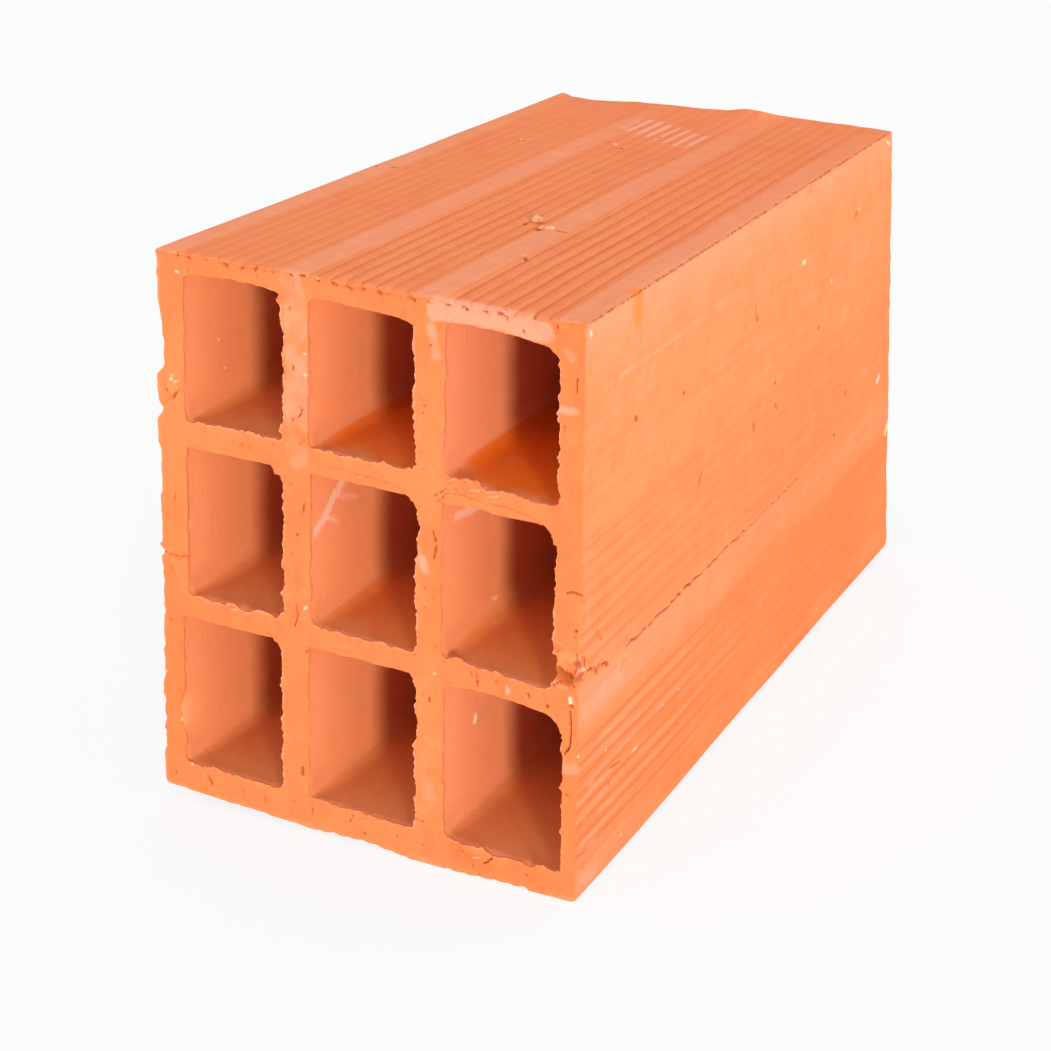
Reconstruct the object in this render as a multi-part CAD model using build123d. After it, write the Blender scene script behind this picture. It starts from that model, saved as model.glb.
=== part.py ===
from build123d import *
import os

# Hollow fired-clay block with nine through cells, three across and three up. The clay is pushed through
# a die, so one section runs the whole length, and wires cut both ends square to it. Combs in the die
# leave bands of fine grooves on all four long faces, one band over each column or row of cells, for
# mortar and plaster to grip. Between the bands the face stays smooth, over the webs.
# Millimetres. X across the columns, Y along the cells, Z up as the block lies on its bed face.
# Origin at the centre of the bottom.

# The block as sold
block_width = 115.0
block_length = 240.0
block_height = 140.0
outer_corner_radius = 2.0

# Walls round the cells, and webs between them
side_wall = 7.0
bed_wall = 6.0
upright_web = 7.0
level_web = 5.5

# Cells: the ceiling corners are rounder than the floor corners
cell_columns = 3
cell_rows = 3
cell_ceiling_radius = 5.0
cell_floor_radius = 3.0

# Grooves: shallow round-bottomed valleys, so many to a band. The combs of the side faces sit a little low.
bed_groove_count = 7
side_groove_count = 8
groove_pitch = 4.0
groove_width = 2.2
groove_depth = 0.6
side_band_drop = 2.0

# Each cell takes an equal share of what the walls and webs leave
cell_width = (block_width - 2 * side_wall - (cell_columns - 1) * upright_web) / cell_columns
cell_height = (block_height - 2 * bed_wall - (cell_rows - 1) * level_web) / cell_rows


def centred_steps(count, step):
    """Places of that many equal steps, centred on zero."""
    return [(i - (count - 1) / 2) * step for i in range(count)]


column_centres = centred_steps(cell_columns, cell_width + upright_web)
row_centres = [block_height / 2 + z for z in centred_steps(cell_rows, cell_height + level_web)]


def outer_outline():
    """Outside of the section, standing on Z = 0."""
    return Pos(0, block_height / 2) * RectangleRounded(block_width, block_height, outer_corner_radius)


def cell_outline():
    """One cell, centred on the sketch origin."""
    outline = Rectangle(cell_width, cell_height)
    floor_corners, ceiling_corners = outline.vertices().group_by(Axis.Y)
    outline = fillet(ceiling_corners, cell_ceiling_radius)
    floor_corners = outline.vertices().group_by(Axis.Y)[0]
    return fillet(floor_corners, cell_floor_radius)


def cells():
    """All cells, in their columns and rows."""
    outline = cell_outline()
    return [Pos(x, z) * outline for z in row_centres for x in column_centres]


def grooves():
    """Round cutters that leave the grooves in the bed faces and the side faces."""
    radius = ((groove_width / 2) ** 2 + groove_depth**2) / (2 * groove_depth)
    standoff = radius - groove_depth
    cutter = Circle(radius)
    bed_steps = centred_steps(bed_groove_count, groove_pitch)
    side_steps = centred_steps(side_groove_count, groove_pitch)
    across = [x + step for x in column_centres for step in bed_steps]
    upward = [z - side_band_drop + step for z in row_centres for step in side_steps]
    beds = [Pos(x, z) * cutter for z in (-standoff, block_height + standoff) for x in across]
    sides = [Pos(side * (block_width / 2 + standoff), z) * cutter for side in (-1, 1) for z in upward]
    return beds + sides


def clay_block():
    """The section pushed out along Y, half to each side of the origin."""
    section = outer_outline() - cells() - grooves()
    return extrude(Plane.XZ * section, amount=block_length / 2, both=True)


os.makedirs("parts", exist_ok=True)
export_step(clay_block(), "parts/clay_block.step")
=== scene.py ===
import math
from collections import namedtuple

import bmesh
import bpy
import numpy as np
from mathutils import Matrix, Vector


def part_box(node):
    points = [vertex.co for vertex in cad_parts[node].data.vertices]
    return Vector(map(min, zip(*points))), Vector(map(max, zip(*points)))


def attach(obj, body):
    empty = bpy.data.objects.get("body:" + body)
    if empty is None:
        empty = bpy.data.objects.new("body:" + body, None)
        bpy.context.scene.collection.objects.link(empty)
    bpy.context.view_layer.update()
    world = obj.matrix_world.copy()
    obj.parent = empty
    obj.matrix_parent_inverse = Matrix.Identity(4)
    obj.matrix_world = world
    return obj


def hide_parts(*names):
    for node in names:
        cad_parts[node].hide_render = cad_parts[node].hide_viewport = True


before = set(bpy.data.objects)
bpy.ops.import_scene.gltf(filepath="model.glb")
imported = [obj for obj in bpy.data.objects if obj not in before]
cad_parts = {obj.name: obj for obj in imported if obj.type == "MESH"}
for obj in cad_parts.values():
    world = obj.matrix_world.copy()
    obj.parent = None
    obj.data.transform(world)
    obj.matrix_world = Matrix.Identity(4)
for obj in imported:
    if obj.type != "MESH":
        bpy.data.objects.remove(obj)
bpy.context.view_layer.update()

bl_info = {
    "name": "Hollow clay block",
    "version": (1, 0, 0),
    "blender": (4, 5, 0),
    "location": "View3D > Sidebar > Clay block",
    "description": "A wire-cut, fired hollow block with ragged cell edges, and its studio",
    "category": "Add Mesh",
}

# The block's own places are in millimetres: across from its left face, down from its top face and
# along from its front end, as the front end is read in a picture. Blender's are in metres.
MM = 0.001
LOW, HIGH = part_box("clay_block")
WIDTH = (HIGH.x - LOW.x) / MM
LENGTH = (HIGH.y - LOW.y) / MM
HEIGHT = (HIGH.z - LOW.z) / MM
HALF_WIDTH = WIDTH / 2
HALF_LENGTH = LENGTH / 2

# Cells as they came out of the die, by (row from the top, column): left, right, then the ceiling's and
# the floor's left and right ends
CELL_EDGES = {
    (0, 0): (7.3, 36.4, 4.7, 5.3, 41.6, 41.5),
    (0, 1): (42.5, 71.9, 5.0, 6.7, 42.0, 41.9),
    (0, 2): (79.0, 108.6, 4.9, 7.0, 41.6, 43.6),
    (1, 0): (7.4, 36.2, 46.8, 47.1, 86.6, 87.0),
    (1, 1): (43.0, 72.6, 45.3, 47.2, 86.7, 87.4),
    (1, 2): (78.6, 108.3, 45.2, 48.1, 86.7, 88.2),
    (2, 0): (5.9, 35.4, 91.0, 91.0, 133.0, 133.1),
    (2, 1): (42.3, 72.6, 91.1, 92.5, 133.2, 134.0),
    (2, 2): (79.4, 111.3, 92.8, 94.6, 133.7, 135.4),
}
CEILING_ARCH = 0.9
# Rounded corners of the cells: how far each reaches along its level side and its upright side. The
# ceilings' right corners sagged, each in its own way.
LEFT_CEILING_CORNER = (2.4, 2.2)
RIGHT_CEILING_CORNERS = {
    (0, 0): (2.6, 1.7),
    (0, 1): (1.8, 1.5),
    (0, 2): (4.5, 3.8),
    (1, 0): (7.0, 6.0),
    (1, 1): (5.5, 5.5),
    (1, 2): (6.0, 7.0),
    (2, 0): (7.0, 5.5),
    (2, 1): (3.4, 3.4),
    (2, 2): (5.5, 6.5),
}
LEFT_FLOOR_CORNER = (2.0, 2.0)
RIGHT_FLOOR_CORNER = (2.8, 2.8)
# How much rounder the floors' corners are some way in, where the wire didn't wipe them
INNER_ROUNDING = 1.7

# Single teeth and dents on the cells' front edges: cell, side, place along it, half its width, height
TEETH = (
    ((0, 0), "right", 6.2, 2.8, 1.7),
    ((0, 0), "right", 38.5, 2.0, 0.5),
    ((0, 1), "right", 24.0, 3.5, 0.7),
    ((0, 2), "floor", 86.5, 4.0, 1.1),
    ((0, 2), "right", 36.0, 3.0, 0.8),
    ((1, 0), "floor", 21.5, 2.6, 1.2),
    ((1, 0), "floor", 30.0, 3.6, 0.8),
    ((1, 1), "right", 56.0, 2.6, -0.9),
    ((1, 2), "right", 53.0, 2.4, -0.7),
    ((1, 2), "floor", 83.0, 2.4, 0.5),
    ((2, 0), "left", 118.5, 6.0, -1.3),
    ((2, 0), "left", 126.5, 2.4, 0.5),
    ((2, 1), "right", 106.0, 4.0, -0.5),
    ((2, 2), "floor", 88.5, 3.5, 0.7),
    ((2, 2), "right", 101.0, 3.5, 0.8),
    ((2, 2), "floor", 106.5, 2.0, 0.9),
)

# Depth of each band of grooves against the die's own: the combs were worn
TOP_BAND_DEPTHS = (0.35, 0.70, 0.90)
SIDE_BAND_DEPTHS = (0.03, 0.40, 0.75)
# How much oranger each band of the sides is than the smooth strips
SIDE_BAND_TINTS = (0.2, 0.6, 1.0)

# Middles of the sides' bands, down from the top
SIDE_BAND_MIDDLES = (29.0, 66.5, 115.5)

# How deep the grooves stay, and how strong the painted highlight on the sides' ridges is (partly a pale film
# left by rubbing), at places along the block
TOP_GROOVES_FADE = ((0, 1.0), (60, 1.0), (120, 0.75), (200, 0.45), (234, 0.25), (240, 0.0))
SIDE_GROOVES_FADES = (
    ((0, 1.0), (240, 0.0)),
    ((0, 1.0), (40, 0.8), (90, 0.35), (200, 0.1), (240, 0.0)),
    ((0, 1.0), (50, 0.9), (100, 0.35), (160, 0.1), (240, 0.0)),
)
SIDE_RIDGE_HIGHLIGHTS = (
    ((0, 0.15), (240, 0.1)),
    ((0, 0.4), (40, 0.3), (60, 0.1), (240, 0.0)),
    ((0, 0.85), (14, 0.8), (36, 0.5), (60, 0.35), (100, 0.1), (240, 0.0)),
)

# How far each rim of the ends stands in from its nominal place, at places along it
LEFT_RIM = (
    (0, 0.1), (12.5, 0.1), (15.5, 1.2), (22, 1.7), (28.5, 1.7), (30.5, -0.2), (33.5, -0.6), (37.5, -0.3),
    (39.4, 1.9), (42.5, -0.8), (45.3, -0.5), (51.3, 0.5), (71, 0.3), (74.7, -0.1), (75.8, 1.7),
    (77.2, 0.3), (83.3, 0.7), (97.6, 0.4), (110, 0.4), (113, -0.3), (116.3, 0.2), (140, 0.0),
)
BOTTOM_RIM = (
    (0, 0.2), (10, -0.3), (22, -0.7), (34, -1.2), (45.5, -1.6), (57, -1.2), (64, -1.3), (70.5, -2.0),
    (79, -1.8), (90, -1.4), (101.2, -1.1), (103.4, -2.3), (108, -2.0), (113.6, -1.4), (115, -0.9),
)
# How far the right side's foot bulges out, at places along it
RIGHT_FOOT = ((0, 0.1), (14, 0.6), (45, 0.7), (75, 0.5), (110, 0.15), (140, 0.0), (240, 0.0))
BACK_TOP_RIM = (
    (0, 0.0), (4, -1.1), (12, -1.5), (20, -0.8), (28, 0.0), (50, 0.2), (60, 0.6), (66, 1.9), (71, 1.8),
    (77, 0.9), (90, 0.7), (105, 0.3), (115, 0.0),
)

# Corners of the block after drying and firing, moved from a true box: right, along and up
WARP = {
    (0, 0, 1): (1.9, 4.0, 3.3),
    (1, 0, 1): (0.1, -0.4, 0.9),
    (1, 0, 0): (0.6, -3.0, 1.3),
    (0, 0, 0): (-1.3, -0.2, 3.4),
    (0, 1, 1): (-0.7, -0.6, 1.7),
    (1, 1, 1): (-3.8, -3.6, -0.2),
    (1, 1, 0): (2.0, 3.0, 2.2),
    (0, 1, 0): (0.0, 0.0, 0.0),
}

# From a place read off a picture of a face, as if that face were flat, to its place on the true block:
# a shift in mm for 1, u, t, u t, u (1 - u), t (1 - t) and u (1 - u) t, where u and t run from 0 to 1
# over and down the face.
FACE_SIZES = {"front": (WIDTH, HEIGHT), "right": (LENGTH, HEIGHT), "top": (WIDTH, LENGTH)}
FACE_SHIFTS = {
    "front": ((1.1, -1.1, -1.5, 1.9, 2.1, 0.0, -0.4), (-0.3, 0.4, 0.3, -0.8, 0.0, -8.0, 0.0)),
    "right": ((0.0, -2.7, 0.9, 4.5, -9.0, 0.0, 6.3), (-0.1, 0.6, 0.0, 0.4, 0.0, -17.0, 0.0)),
    "top": ((0.5, 1.1, 0.0, -1.6, 0.0, 0.0, 0.2), (1.1, -1.3, -0.1, 0.2, 0.0, -2.1, 0.0)),
}

# Marks, each on one face of the block: width, depth (out of the clay where it is below zero) and path.
# Films, which are slurry and drips, have a strength from 0 to 1 in place of the depth.
# On the front end a path runs over and down, on the right face along and down, on the top over and along.
CRACKS = {
    "front": (
        (0.2, 0.52, ((19, 46.8), (22, 46.1), (26, 46.7))),
        (0.27, 0.65, ((38.2, 89.6), (38.7, 88), (39.3, 86))),
        (0.41, 0.72, ((39.0, 36.2), (39.9, 35), (39.6, 33.6))),
        (0.27, 0.65, ((87.5, 90.4), (87.9, 93.4))),
        (0.18, 0.39, ((85.2, 90.7), (87.5, 90.4), (89.8, 90.5))),
        (0.27, 0.78, ((112, 94), (112.3, 99), (112, 103), (110.6, 105))),
        (0.32, 0.85, ((0, 78.2), (4, 78.7), (8, 78.1))),
        (0.2, 0.45, ((110.4, 65.4), (112, 64.8), (114.4, 65))),
        (0.2, 0.45, ((72.3, 25), (72.9, 27), (72.7, 29))), (0.23, 0.45, ((112.2, 13.6), (112, 17))),
        (0.2, 0.45, ((109.6, 24), (109.3, 26.4))), (0.27, 0.52, ((4, 61.8), (3.7, 64.4))),
        (0.23, 0.45, ((2.4, 81.2), (2.7, 83.4))), (0.27, 0.59, ((5, -0.5), (5.2, 2.2))),
        (0.18, 0.45, ((17, -0.5), (17.1, 2.4))), (0.2, 0.52, ((27.2, -0.5), (27.6, 3.5))),
        (0.18, 0.45, ((37.4, 0.8), (37.6, 4))), (0.2, 0.52, ((49, -0.5), (49.3, 1.6))),
        (0.25, 0.59, ((70.2, -0.5), (70.5, 2.4))), (0.25, 0.59, ((94, -0.5), (94.3, 2.6))),
        (0.27, 0.59, ((107.5, -0.5), (107.2, 2.2))), (0.18, 0.39, ((87.2, 136.6), (87.4, 139.6))),
        (0.32, 0.72, ((84.6, 134.8), (85.4, 136.2), (86.2, 137.4))),
        (0.36, 0.78, ((90.6, 137.4), (92, 136.6), (92.8, 135.2))),
        (0.18, 0.39, ((42.8, 134.4), (43.1, 138))), (0.2, 0.39, ((23, 136.2), (23.5, 139))),
        (0.18, 0.39, ((54.4, 134.6), (53.4, 137))),
        (0.27, 0.59, ((70.4, 130.4), (71.6, 131.2), (74, 131.6))),
        (0.25, 0.59, ((38.4, 84), (38.9, 86.5))), (0.18, 0.33, ((76, 48.6), (79, 46.4), (84, 45.4))),
        (0.27, 0.59, ((101, 91.8), (101.3, 93))),
        (0.27, 0.65, ((107, 88.6), (110.5, 87.2), (113, 87.6))),
        (0.23, 0.59, ((108.6, 80), (108.2, 83.5), (109.4, 87))),
        (0.2, 0.45, ((29.5, 136.6), (29.7, 138.6))), (0.23, 0.45, ((9.6, 112), (9.4, 114))),
        (0.25, 0.52, ((40.2, 58.6), (40.4, 60.4))),
        (0.23, 0.52, ((75.6, 57.5), (76.4, 60.5), (76, 64.2))),
        (0.5, 0.6, ((113.4, 86.6), (114.4, 86.0), (115.9, 84.7))),
        (0.4, 0.5, ((113.7, 83.0), (113.7, 84.7))),
        (0.6, 0.6, ((108.2, 80.3), (110.0, 80.6), (112.2, 80.0))),
        (0.35, 0.4, ((113.3, 81.9), (115.1, 81.7), (116.1, 81.9))),
    ),
    "right": (
        (
            0.36, 0.6,
            ((1.6, 87.9), (3.2, 86.9), (5.5, 87.0), (7.6, 88.0), (10.2, 88.7), (13.2, 88.9), (16.2, 90.2)),
        ),
        (0.7, 0.7, ((7.8, 88.2), (9.5, 89.5))), (0.55, 0.4, ((14.2, 89.8), (16.0, 90.2))),
        (0.4, 0.6, ((8.1, 79.5), (9.6, 80.2), (11.5, 82.2))),
        (0.6, 0.8, ((110.0, 100.4), (110.9, 104.2))), (0.33, 0.52, ((17.4, 119.8), (17.8, 121.4))),
        (0.28, 0.4, ((18.0, 117.0), (24.1, 117.7))), (0.28, 0.4, ((49.3, 123.3), (55.5, 123.8))),
        (0.28, 0.4, ((58.6, 123.4), (60.4, 123.9))), (0.4, 0.6, ((23.4, 94.8), (25.2, 93.0))),
    ),
}
PITS = {
    "front": (
        (0.79, 0.63, ((36.5, 9.5),)), (0.62, 0.5, ((37.5, 23.8), (37.5, 24.4))),
        (0.7, 0.6, ((37.5, 37),)), (0.72, 0.77, ((40, 126.4), (40, 127.8))),
        (0.52, 0.45, ((75, 99.6), (75, 100.4))), (0.79, 0.56, ((106, 94.2),)),
        (0.94, 0.7, ((13, 136), (13.8, 137))), (0.72, 0.63, ((98.4, 4.4),)),
        (1.01, 0.98, ((86.8, 42.6), (88.2, 42.9))), (0.65, 0.49, ((44, 96.3),)),
        (0.72, 0.56, ((41.2, 95.4),)), (0.65, 0.49, ((3.4, 136.4),)), (0.65, 0.49, ((57.6, 139),)),
        (0.72, 0.63, ((93, 91.2),)), (0.58, 0.42, ((8, 11.5),)), (0.65, 0.56, ((1.8, 36),)),
        (0.62, 0.5, ((3.6, 37.6), (4.6, 36.2))), (0.65, 0.56, ((113, 74),)),
        (0.58, 0.42, ((101.4, 138),)), (0.58, 0.42, ((66.5, 137.2),)), (0.72, 0.49, ((30.5, 47.6),)),
        (0.58, 0.42, ((38.6, 66),)), (0.58, 0.42, ((111.4, 115),)), (0.65, 0.49, ((74.6, 12),)),
        (0.58, 0.42, ((2.2, 96),)), (0.58, 0.42, ((76.6, 86),)),
        (3.0, 2.2, ((108.4, 85.4), (110.4, 86.2))), (1.2, 1.2, ((109.2, 81.4), (110.2, 82.8))),
        (0.9, 0.6, ((112.1, 92.6),)),
    ),
    "right": (
        (1.25, 0.7, ((113.7, 60.4), (114.9, 62.4))), (1.0, 0.55, ((131.6, 60.2), (132.9, 61.6))),
        (1.15, 0.6, ((75.6, 62.4), (74.2, 64.0))), (1.0, 0.6, ((115.9, 30.5), (117.1, 30.9))),
        (0.7, 0.4, ((114.5, 26.6), (115.6, 29.4))), (1.1, 0.6, ((30.0, 33.0), (31.2, 33.4))),
        (1.5, 1.0, ((202.2, 21.8), (203.6, 20.2), (206.2, 19.5))),
        (1.1, 0.5, ((159.8, 2.6), (161.2, 1.6))), (0.8, 0.4, ((184.6, 86.2), (185.8, 86.4))),
        (0.8, 0.4, ((131.0, 53.8), (132.2, 53.8))), (0.8, 0.35, ((169.5, 48), (170.5, 48))),
        (0.7, 0.35, ((195.5, 76), (196.5, 76))), (0.75, 0.35, ((61.5, 36), (62.5, 36))),
    ),
    # On the top, the pits beside the stone chips, at (49.4, 69.8), (64.8, 167.4), (69.4, 171), (75.2, 170.4)
    # and (22.4, 78.2), are painted shadows at the chips' feet, pressed in a little
    "top": (
        (1.08, 0.63, ((80.8, 120.6),)), (0.94, 0.42, ((96.7, 127.8),)), (0.94, 0.49, ((110.8, 123),)),
        (1.08, 0.77, ((49.4, 69.8), (50.2, 70.4))), (1.15, 0.84, ((54, 49), (54, 50))),
        (1.3, 0.49, ((79.4, 199), (81, 201))), (0.86, 0.42, ((68.9, 201.2),)),
        (0.94, 0.49, ((32, 192.5),)), (0.86, 0.42, ((31.6, 132.3),)), (0.79, 0.35, ((15.4, 94.1),)),
        (0.79, 0.35, ((49.8, 152.3),)), (0.86, 0.42, ((85.1, 190.3),)), (0.79, 0.35, ((69.7, 140),)),
        (1.01, 0.84, ((64.8, 167.4), (65.4, 169))), (1.15, 0.91, ((69.4, 171), (71, 173))),
        (0.94, 0.63, ((75.2, 170.4), (77, 171))), (0.86, 0.63, ((5.2, 130.2), (6.2, 130.6))),
        (0.86, 0.63, ((0.4, 131), (0.8, 132))), (0.55, 0.35, ((75.9, 11.2),)),
        (0.86, 0.49, ((22.4, 78.2),)), (0.86, 0.56, ((-0.3, 145),)),
    ),
}
LIME_SPECKS = {
    "front": (
        (0.88, -0.24, ((5, 5.5),)), (0.75, -0.24, ((44.5, 0.3),)), (0.75, -0.24, ((3, 33),)),
        (0.61, -0.16, ((4, 33.6),)), (0.54, -0.16, ((41, 20),)), (0.68, -0.24, ((41, 25.2),)),
        (0.42, -0.2, ((96, 92.5),)), (1.0, -0.4, ((112.0, 90.7), (112.1, 91.7))),
        (0.61, -0.16, ((5.4, 118),)), (0.82, -0.16, ((5.4, 122),)), (0.82, -0.32, ((41, 80.6),)),
        (0.95, -0.32, ((41.2, 84),)), (0.61, -0.16, ((0.6, 110),)), (0.68, -0.16, ((114.4, 104.6),)),
        (0.7, -0.3, ((31, 47.6),)), (0.54, -0.16, ((76.4, 93),)), (0.54, -0.16, ((8.4, 133.2),)),
        (0.9, -0.4, ((33, -0.3),)),
    ),
    "right": (
        (1.2, -0.3, ((154.0, 23.4), (155.8, 23.4))), (0.7, -0.16, ((180.8, 35.7),)),
        (1.5, -0.2, ((227.0, 81.6), (228.4, 80.6))), (1.7, -0.2, ((235.6, 101.6), (237.6, 99.8))),
        (0.9, -0.3, ((24.1, 136.2),)), (0.6, -0.2, ((31.2, 118.4), (33.0, 118.4))),
        (0.6, -0.2, ((15.0, 111.3),)), (0.6, -0.2, ((60.6, 114.7),)), (0.5, -0.2, ((49.8, 114.4),)),
        (0.6, -0.16, ((206.6, 19.2), (207.4, 18.8))), (0.9, -0.16, ((236.4, 2.0), (238.8, 3.3))),
        (0.7, -0.2, ((1.2, 2.4), (1.4, 3.4))),
    ),
}
LUMPS = {
    "front": (
        (5.0, -1.0, ((86, 44.2), (89.5, 43.8))), (4.0, -0.9, ((20, 88), (23, 87.6))),
        (5.0, -0.7, ((27, 89), (33, 89))), (4.5, -0.9, ((85, 135.2), (93, 136.4))),
        (2.5, -0.7, ((32, 46.6), (34.5, 47.8))), (4.0, -0.6, ((41, 75), (41, 77))),
        (2.5, -0.6, ((2, 34), (3.4, 37.4))), (3.0, -0.5, ((37, 88), (40, 87))),
        (3.0, -0.4, ((108, 78.4), (114, 78.8))), (2.6, -0.5, ((103, 1.4), (112, 2.2))),
        (2.4, -0.5, ((114.6, 0.5), (114.6, 9))),
    ),
}
SLURRY = {
    "front": (
        (5.2, 1.0, ((76, 3.0), (84, 2.6), (96, 2.9), (104, 3.8))),
        (6.5, 0.5, ((37, 2.4), (38.4, 10), (38.6, 46))), (5.4, 0.15, ((75, 106), (75.2, 128))),
        (1.6, 1.0, ((107.6, 21.6), (112, 21.4))), (2.8, 0.8, ((75, 8), (76.4, 14))),
        (2.0, 0.9, ((72.6, 65), (73.4, 67.4))), (3.0, 0.7, ((109, 109), (114, 108))),
        (2.2, 0.5, ((109.4, 7), (111, 8.6))), (1.4, 0.9, ((71.4, 78.6), (71.8, 81))),
        (0.9, 1.0, ((108.2, 88.0), (109.3, 88.3), (111.0, 88.2))),
    ),
    "right": (
        (0.9, 0.7, ((10, 19), (60, 18.8), (104, 18.0))), (1.8, 0.9, ((1.2, 1.6), (1.6, 7.4))),
        (1.2, 0.6, ((163, 2.5), (186, 2.4))), (1.0, 0.9, ((115.8, 57.9), (122.4, 58.3))),
        (0.9, 0.5, ((153.9, 80.2), (163.4, 81.1))), (0.8, 0.9, ((4.9, 106.5), (25.4, 107.3))),
        (0.8, 0.7, ((2.2, 115.6), (12.7, 117.1))), (0.8, 0.8, ((3.2, 123.4), (19.0, 125.0))),
        (0.8, 0.9, ((2.0, 130.2), (16.0, 131.0))), (5.0, 0.55, ((3, 95.5), (22, 95.0))),
        (4.6, 0.6, ((2.5, 136.5), (9, 137.2))),
    ),
}
DRIPS = {
    "front": (
        (1.8, 0.8, ((113.4, -0.5), (113.2, 5))),
    ),
    "right": (
        (5.6, 1.0, ((29.5, -1), (29.7, 6.0))), (1.2, 0.8, ((1.0, 6), (1.2, 13))),
        (1.3, 0.8, ((28.2, 28.4), (28.6, 28.8))),
    ),
}

# Marks on the cells' left walls: kind, cell, width, depth or strength, and path along and down
WALL_MARKS = (
    ("slurry", (1, 1), 3.2, 1.6, ((3.0, 63.3), (7.3, 61.2), (11.7, 57.2), (18.0, 53.8))),
    ("slurry", (1, 1), 1.6, 1.4, ((7.3, 61.2), (13.4, 64.1))),
    ("slurry", (1, 1), 1.4, 1.3, ((11.7, 57.2), (22.5, 61.0))),
    ("slurry", (1, 2), 2.6, 1.7, ((8.1, 54.0), (14.9, 54.9), (22.4, 54.9))),
    ("lime", (2, 2), 1.5, -0.3, ((16.8, 110.2), (17.2, 109.0))),
    ("lime", (0, 0), 0.7, -0.2, ((16.1, 25.1),)),
    ("lime", (0, 0), 0.7, -0.2, ((19.1, 33.1),)),
    ("lime", (1, 2), 0.7, -0.2, ((28.1, 82.4),)),
    ("lime", (1, 2), 0.9, -0.2, ((6.8, 86.0),)),
)

# Crumbs of stone that lie on the top: over, distance from the back, length, width, height and turn
STONE_CHIPS = (
    (21.4, 78.1, 1.7, 1.3, 0.9, 10),
    (48.0, 68.0, 2.6, 1.6, 0.9, 15),
    (67.6, 165.7, 3.3, 2.8, 2.3, 35),
    (72.8, 170.8, 4.6, 2.1, 1.2, -12),
)

# Flakes that stand off the front end: over and down, width, height, thickness and turn
CLAY_FLAKES = (
    (110.4, 79.4, 4.6, 0.9, 1.2, -5),
    (112.8, 81.2, 0.9, 3.6, 2.2, 10),
    (112.8, 85.0, 0.9, 4.0, 1.6, -14),
    (114.8, 82.9, 2.0, 1.3, 1.0, 25),
    (87.2, 44.6, 3.0, 0.9, 1.6, 4),
    (91.6, 45.4, 3.2, 0.8, 1.6, 12),
    (80.6, 43.6, 2.4, 0.7, 1.4, 18),
    (21.6, 88.4, 2.4, 0.8, 1.4, 0),
    (88.6, 136.2, 2.6, 0.8, 1.4, 6),
)


def length_setting(name, description, size):
    return bpy.props.FloatProperty(name=name, description=description, default=size * MM, unit="LENGTH")


def angle_setting(name, description, degrees):
    turn = math.radians(degrees)
    return bpy.props.FloatProperty(name=name, description=description, default=turn, unit="ROTATION")


def number_setting(name, description, value):
    return bpy.props.FloatProperty(name=name, description=description, default=value)


def colour_setting(name, description, value):
    return bpy.props.FloatVectorProperty(name=name, description=description, default=value, subtype="COLOR")


def place_setting(name, description, value):
    return bpy.props.FloatVectorProperty(
        name=name, description=description, default=value, subtype="TRANSLATION"
    )


class BlockShape(bpy.types.PropertyGroup):
    """Sizes of the block's section, its ragged edges and its mesh."""

    side_wall: length_setting("Side wall", "Upright outer walls", 7.0)
    bed_wall: length_setting("Bed wall", "Top and bottom walls", 6.0)
    upright_web: length_setting("Upright web", "Webs between columns of cells", 7.0)
    level_web: length_setting("Level web", "Webs between rows of cells", 5.5)
    outer_radius: length_setting("Outer radius", "Long edges of the block", 0.6)
    groove_pitch: length_setting("Groove pitch", "Step from groove to groove", 4.0)
    groove_width: length_setting("Groove width", "Width of a groove at the face", 2.2)
    groove_depth: length_setting("Groove depth", "Depth of an unworn groove", 0.6)
    burr_height: length_setting("Burr height", "Longest teeth of torn clay at a cell's edge", 1.5)
    line_pitch: length_setting("Mesh pitch", "Widest step of the end face's mesh", 1.05)


class ClayFinish(bpy.types.PropertyGroup):
    """Colours of the fired clay and of what is in it and on it, and of the light and shade painted on it."""

    clay: colour_setting("Clay", "Fired body", (0.91, 0.225, 0.073))
    # Pale clay: dry, dusty patches, and the painted light toward the sides' top front
    pale_clay: colour_setting("Pale clay", "Dry, dusty patches", (0.95, 0.345, 0.140))
    band_clay: colour_setting("Band clay", "Grooved bands, freshly drawn", (0.89, 0.195, 0.052))
    # Red clay: the body's red mottle, and the painted shade in the grooves
    red_clay: colour_setting("Red clay", "Hollows and fresh breaks", (0.74, 0.155, 0.042))
    # The cells' duller floors and the stone chips' mottle, and the painted shade in the cells
    dull_clay_and_shade: colour_setting("Dull clay", "Cell floors", (0.70, 0.25, 0.09))
    # Slurry: also the painted highlight on the sides' ridges
    slurry: colour_setting("Slurry", "Pinkish film of fine clay", (0.93, 0.375, 0.25))
    # Painted highlight where the cells' torn lips catch light
    lip_highlight: colour_setting("Fringe", "Torn lips of the cells", (0.96, 0.46, 0.35))
    scuff: colour_setting("Scuff", "Rubbed ridge tops", (0.96, 0.47, 0.33))
    stain: colour_setting("Stain", "Wet orange stain on cell floors", (0.80, 0.165, 0.006))
    lime: colour_setting("Lime", "White grains in the clay", (0.90, 0.66, 0.50))
    stone: colour_setting("Stone", "Crumbs on the top", (0.74, 0.46, 0.32))
    drip: colour_setting("Drip", "Strong orange runs", (0.95, 0.25, 0.05))
    pit: colour_setting("Pit", "Floor of pits and cracks", (0.42, 0.105, 0.020))


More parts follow.
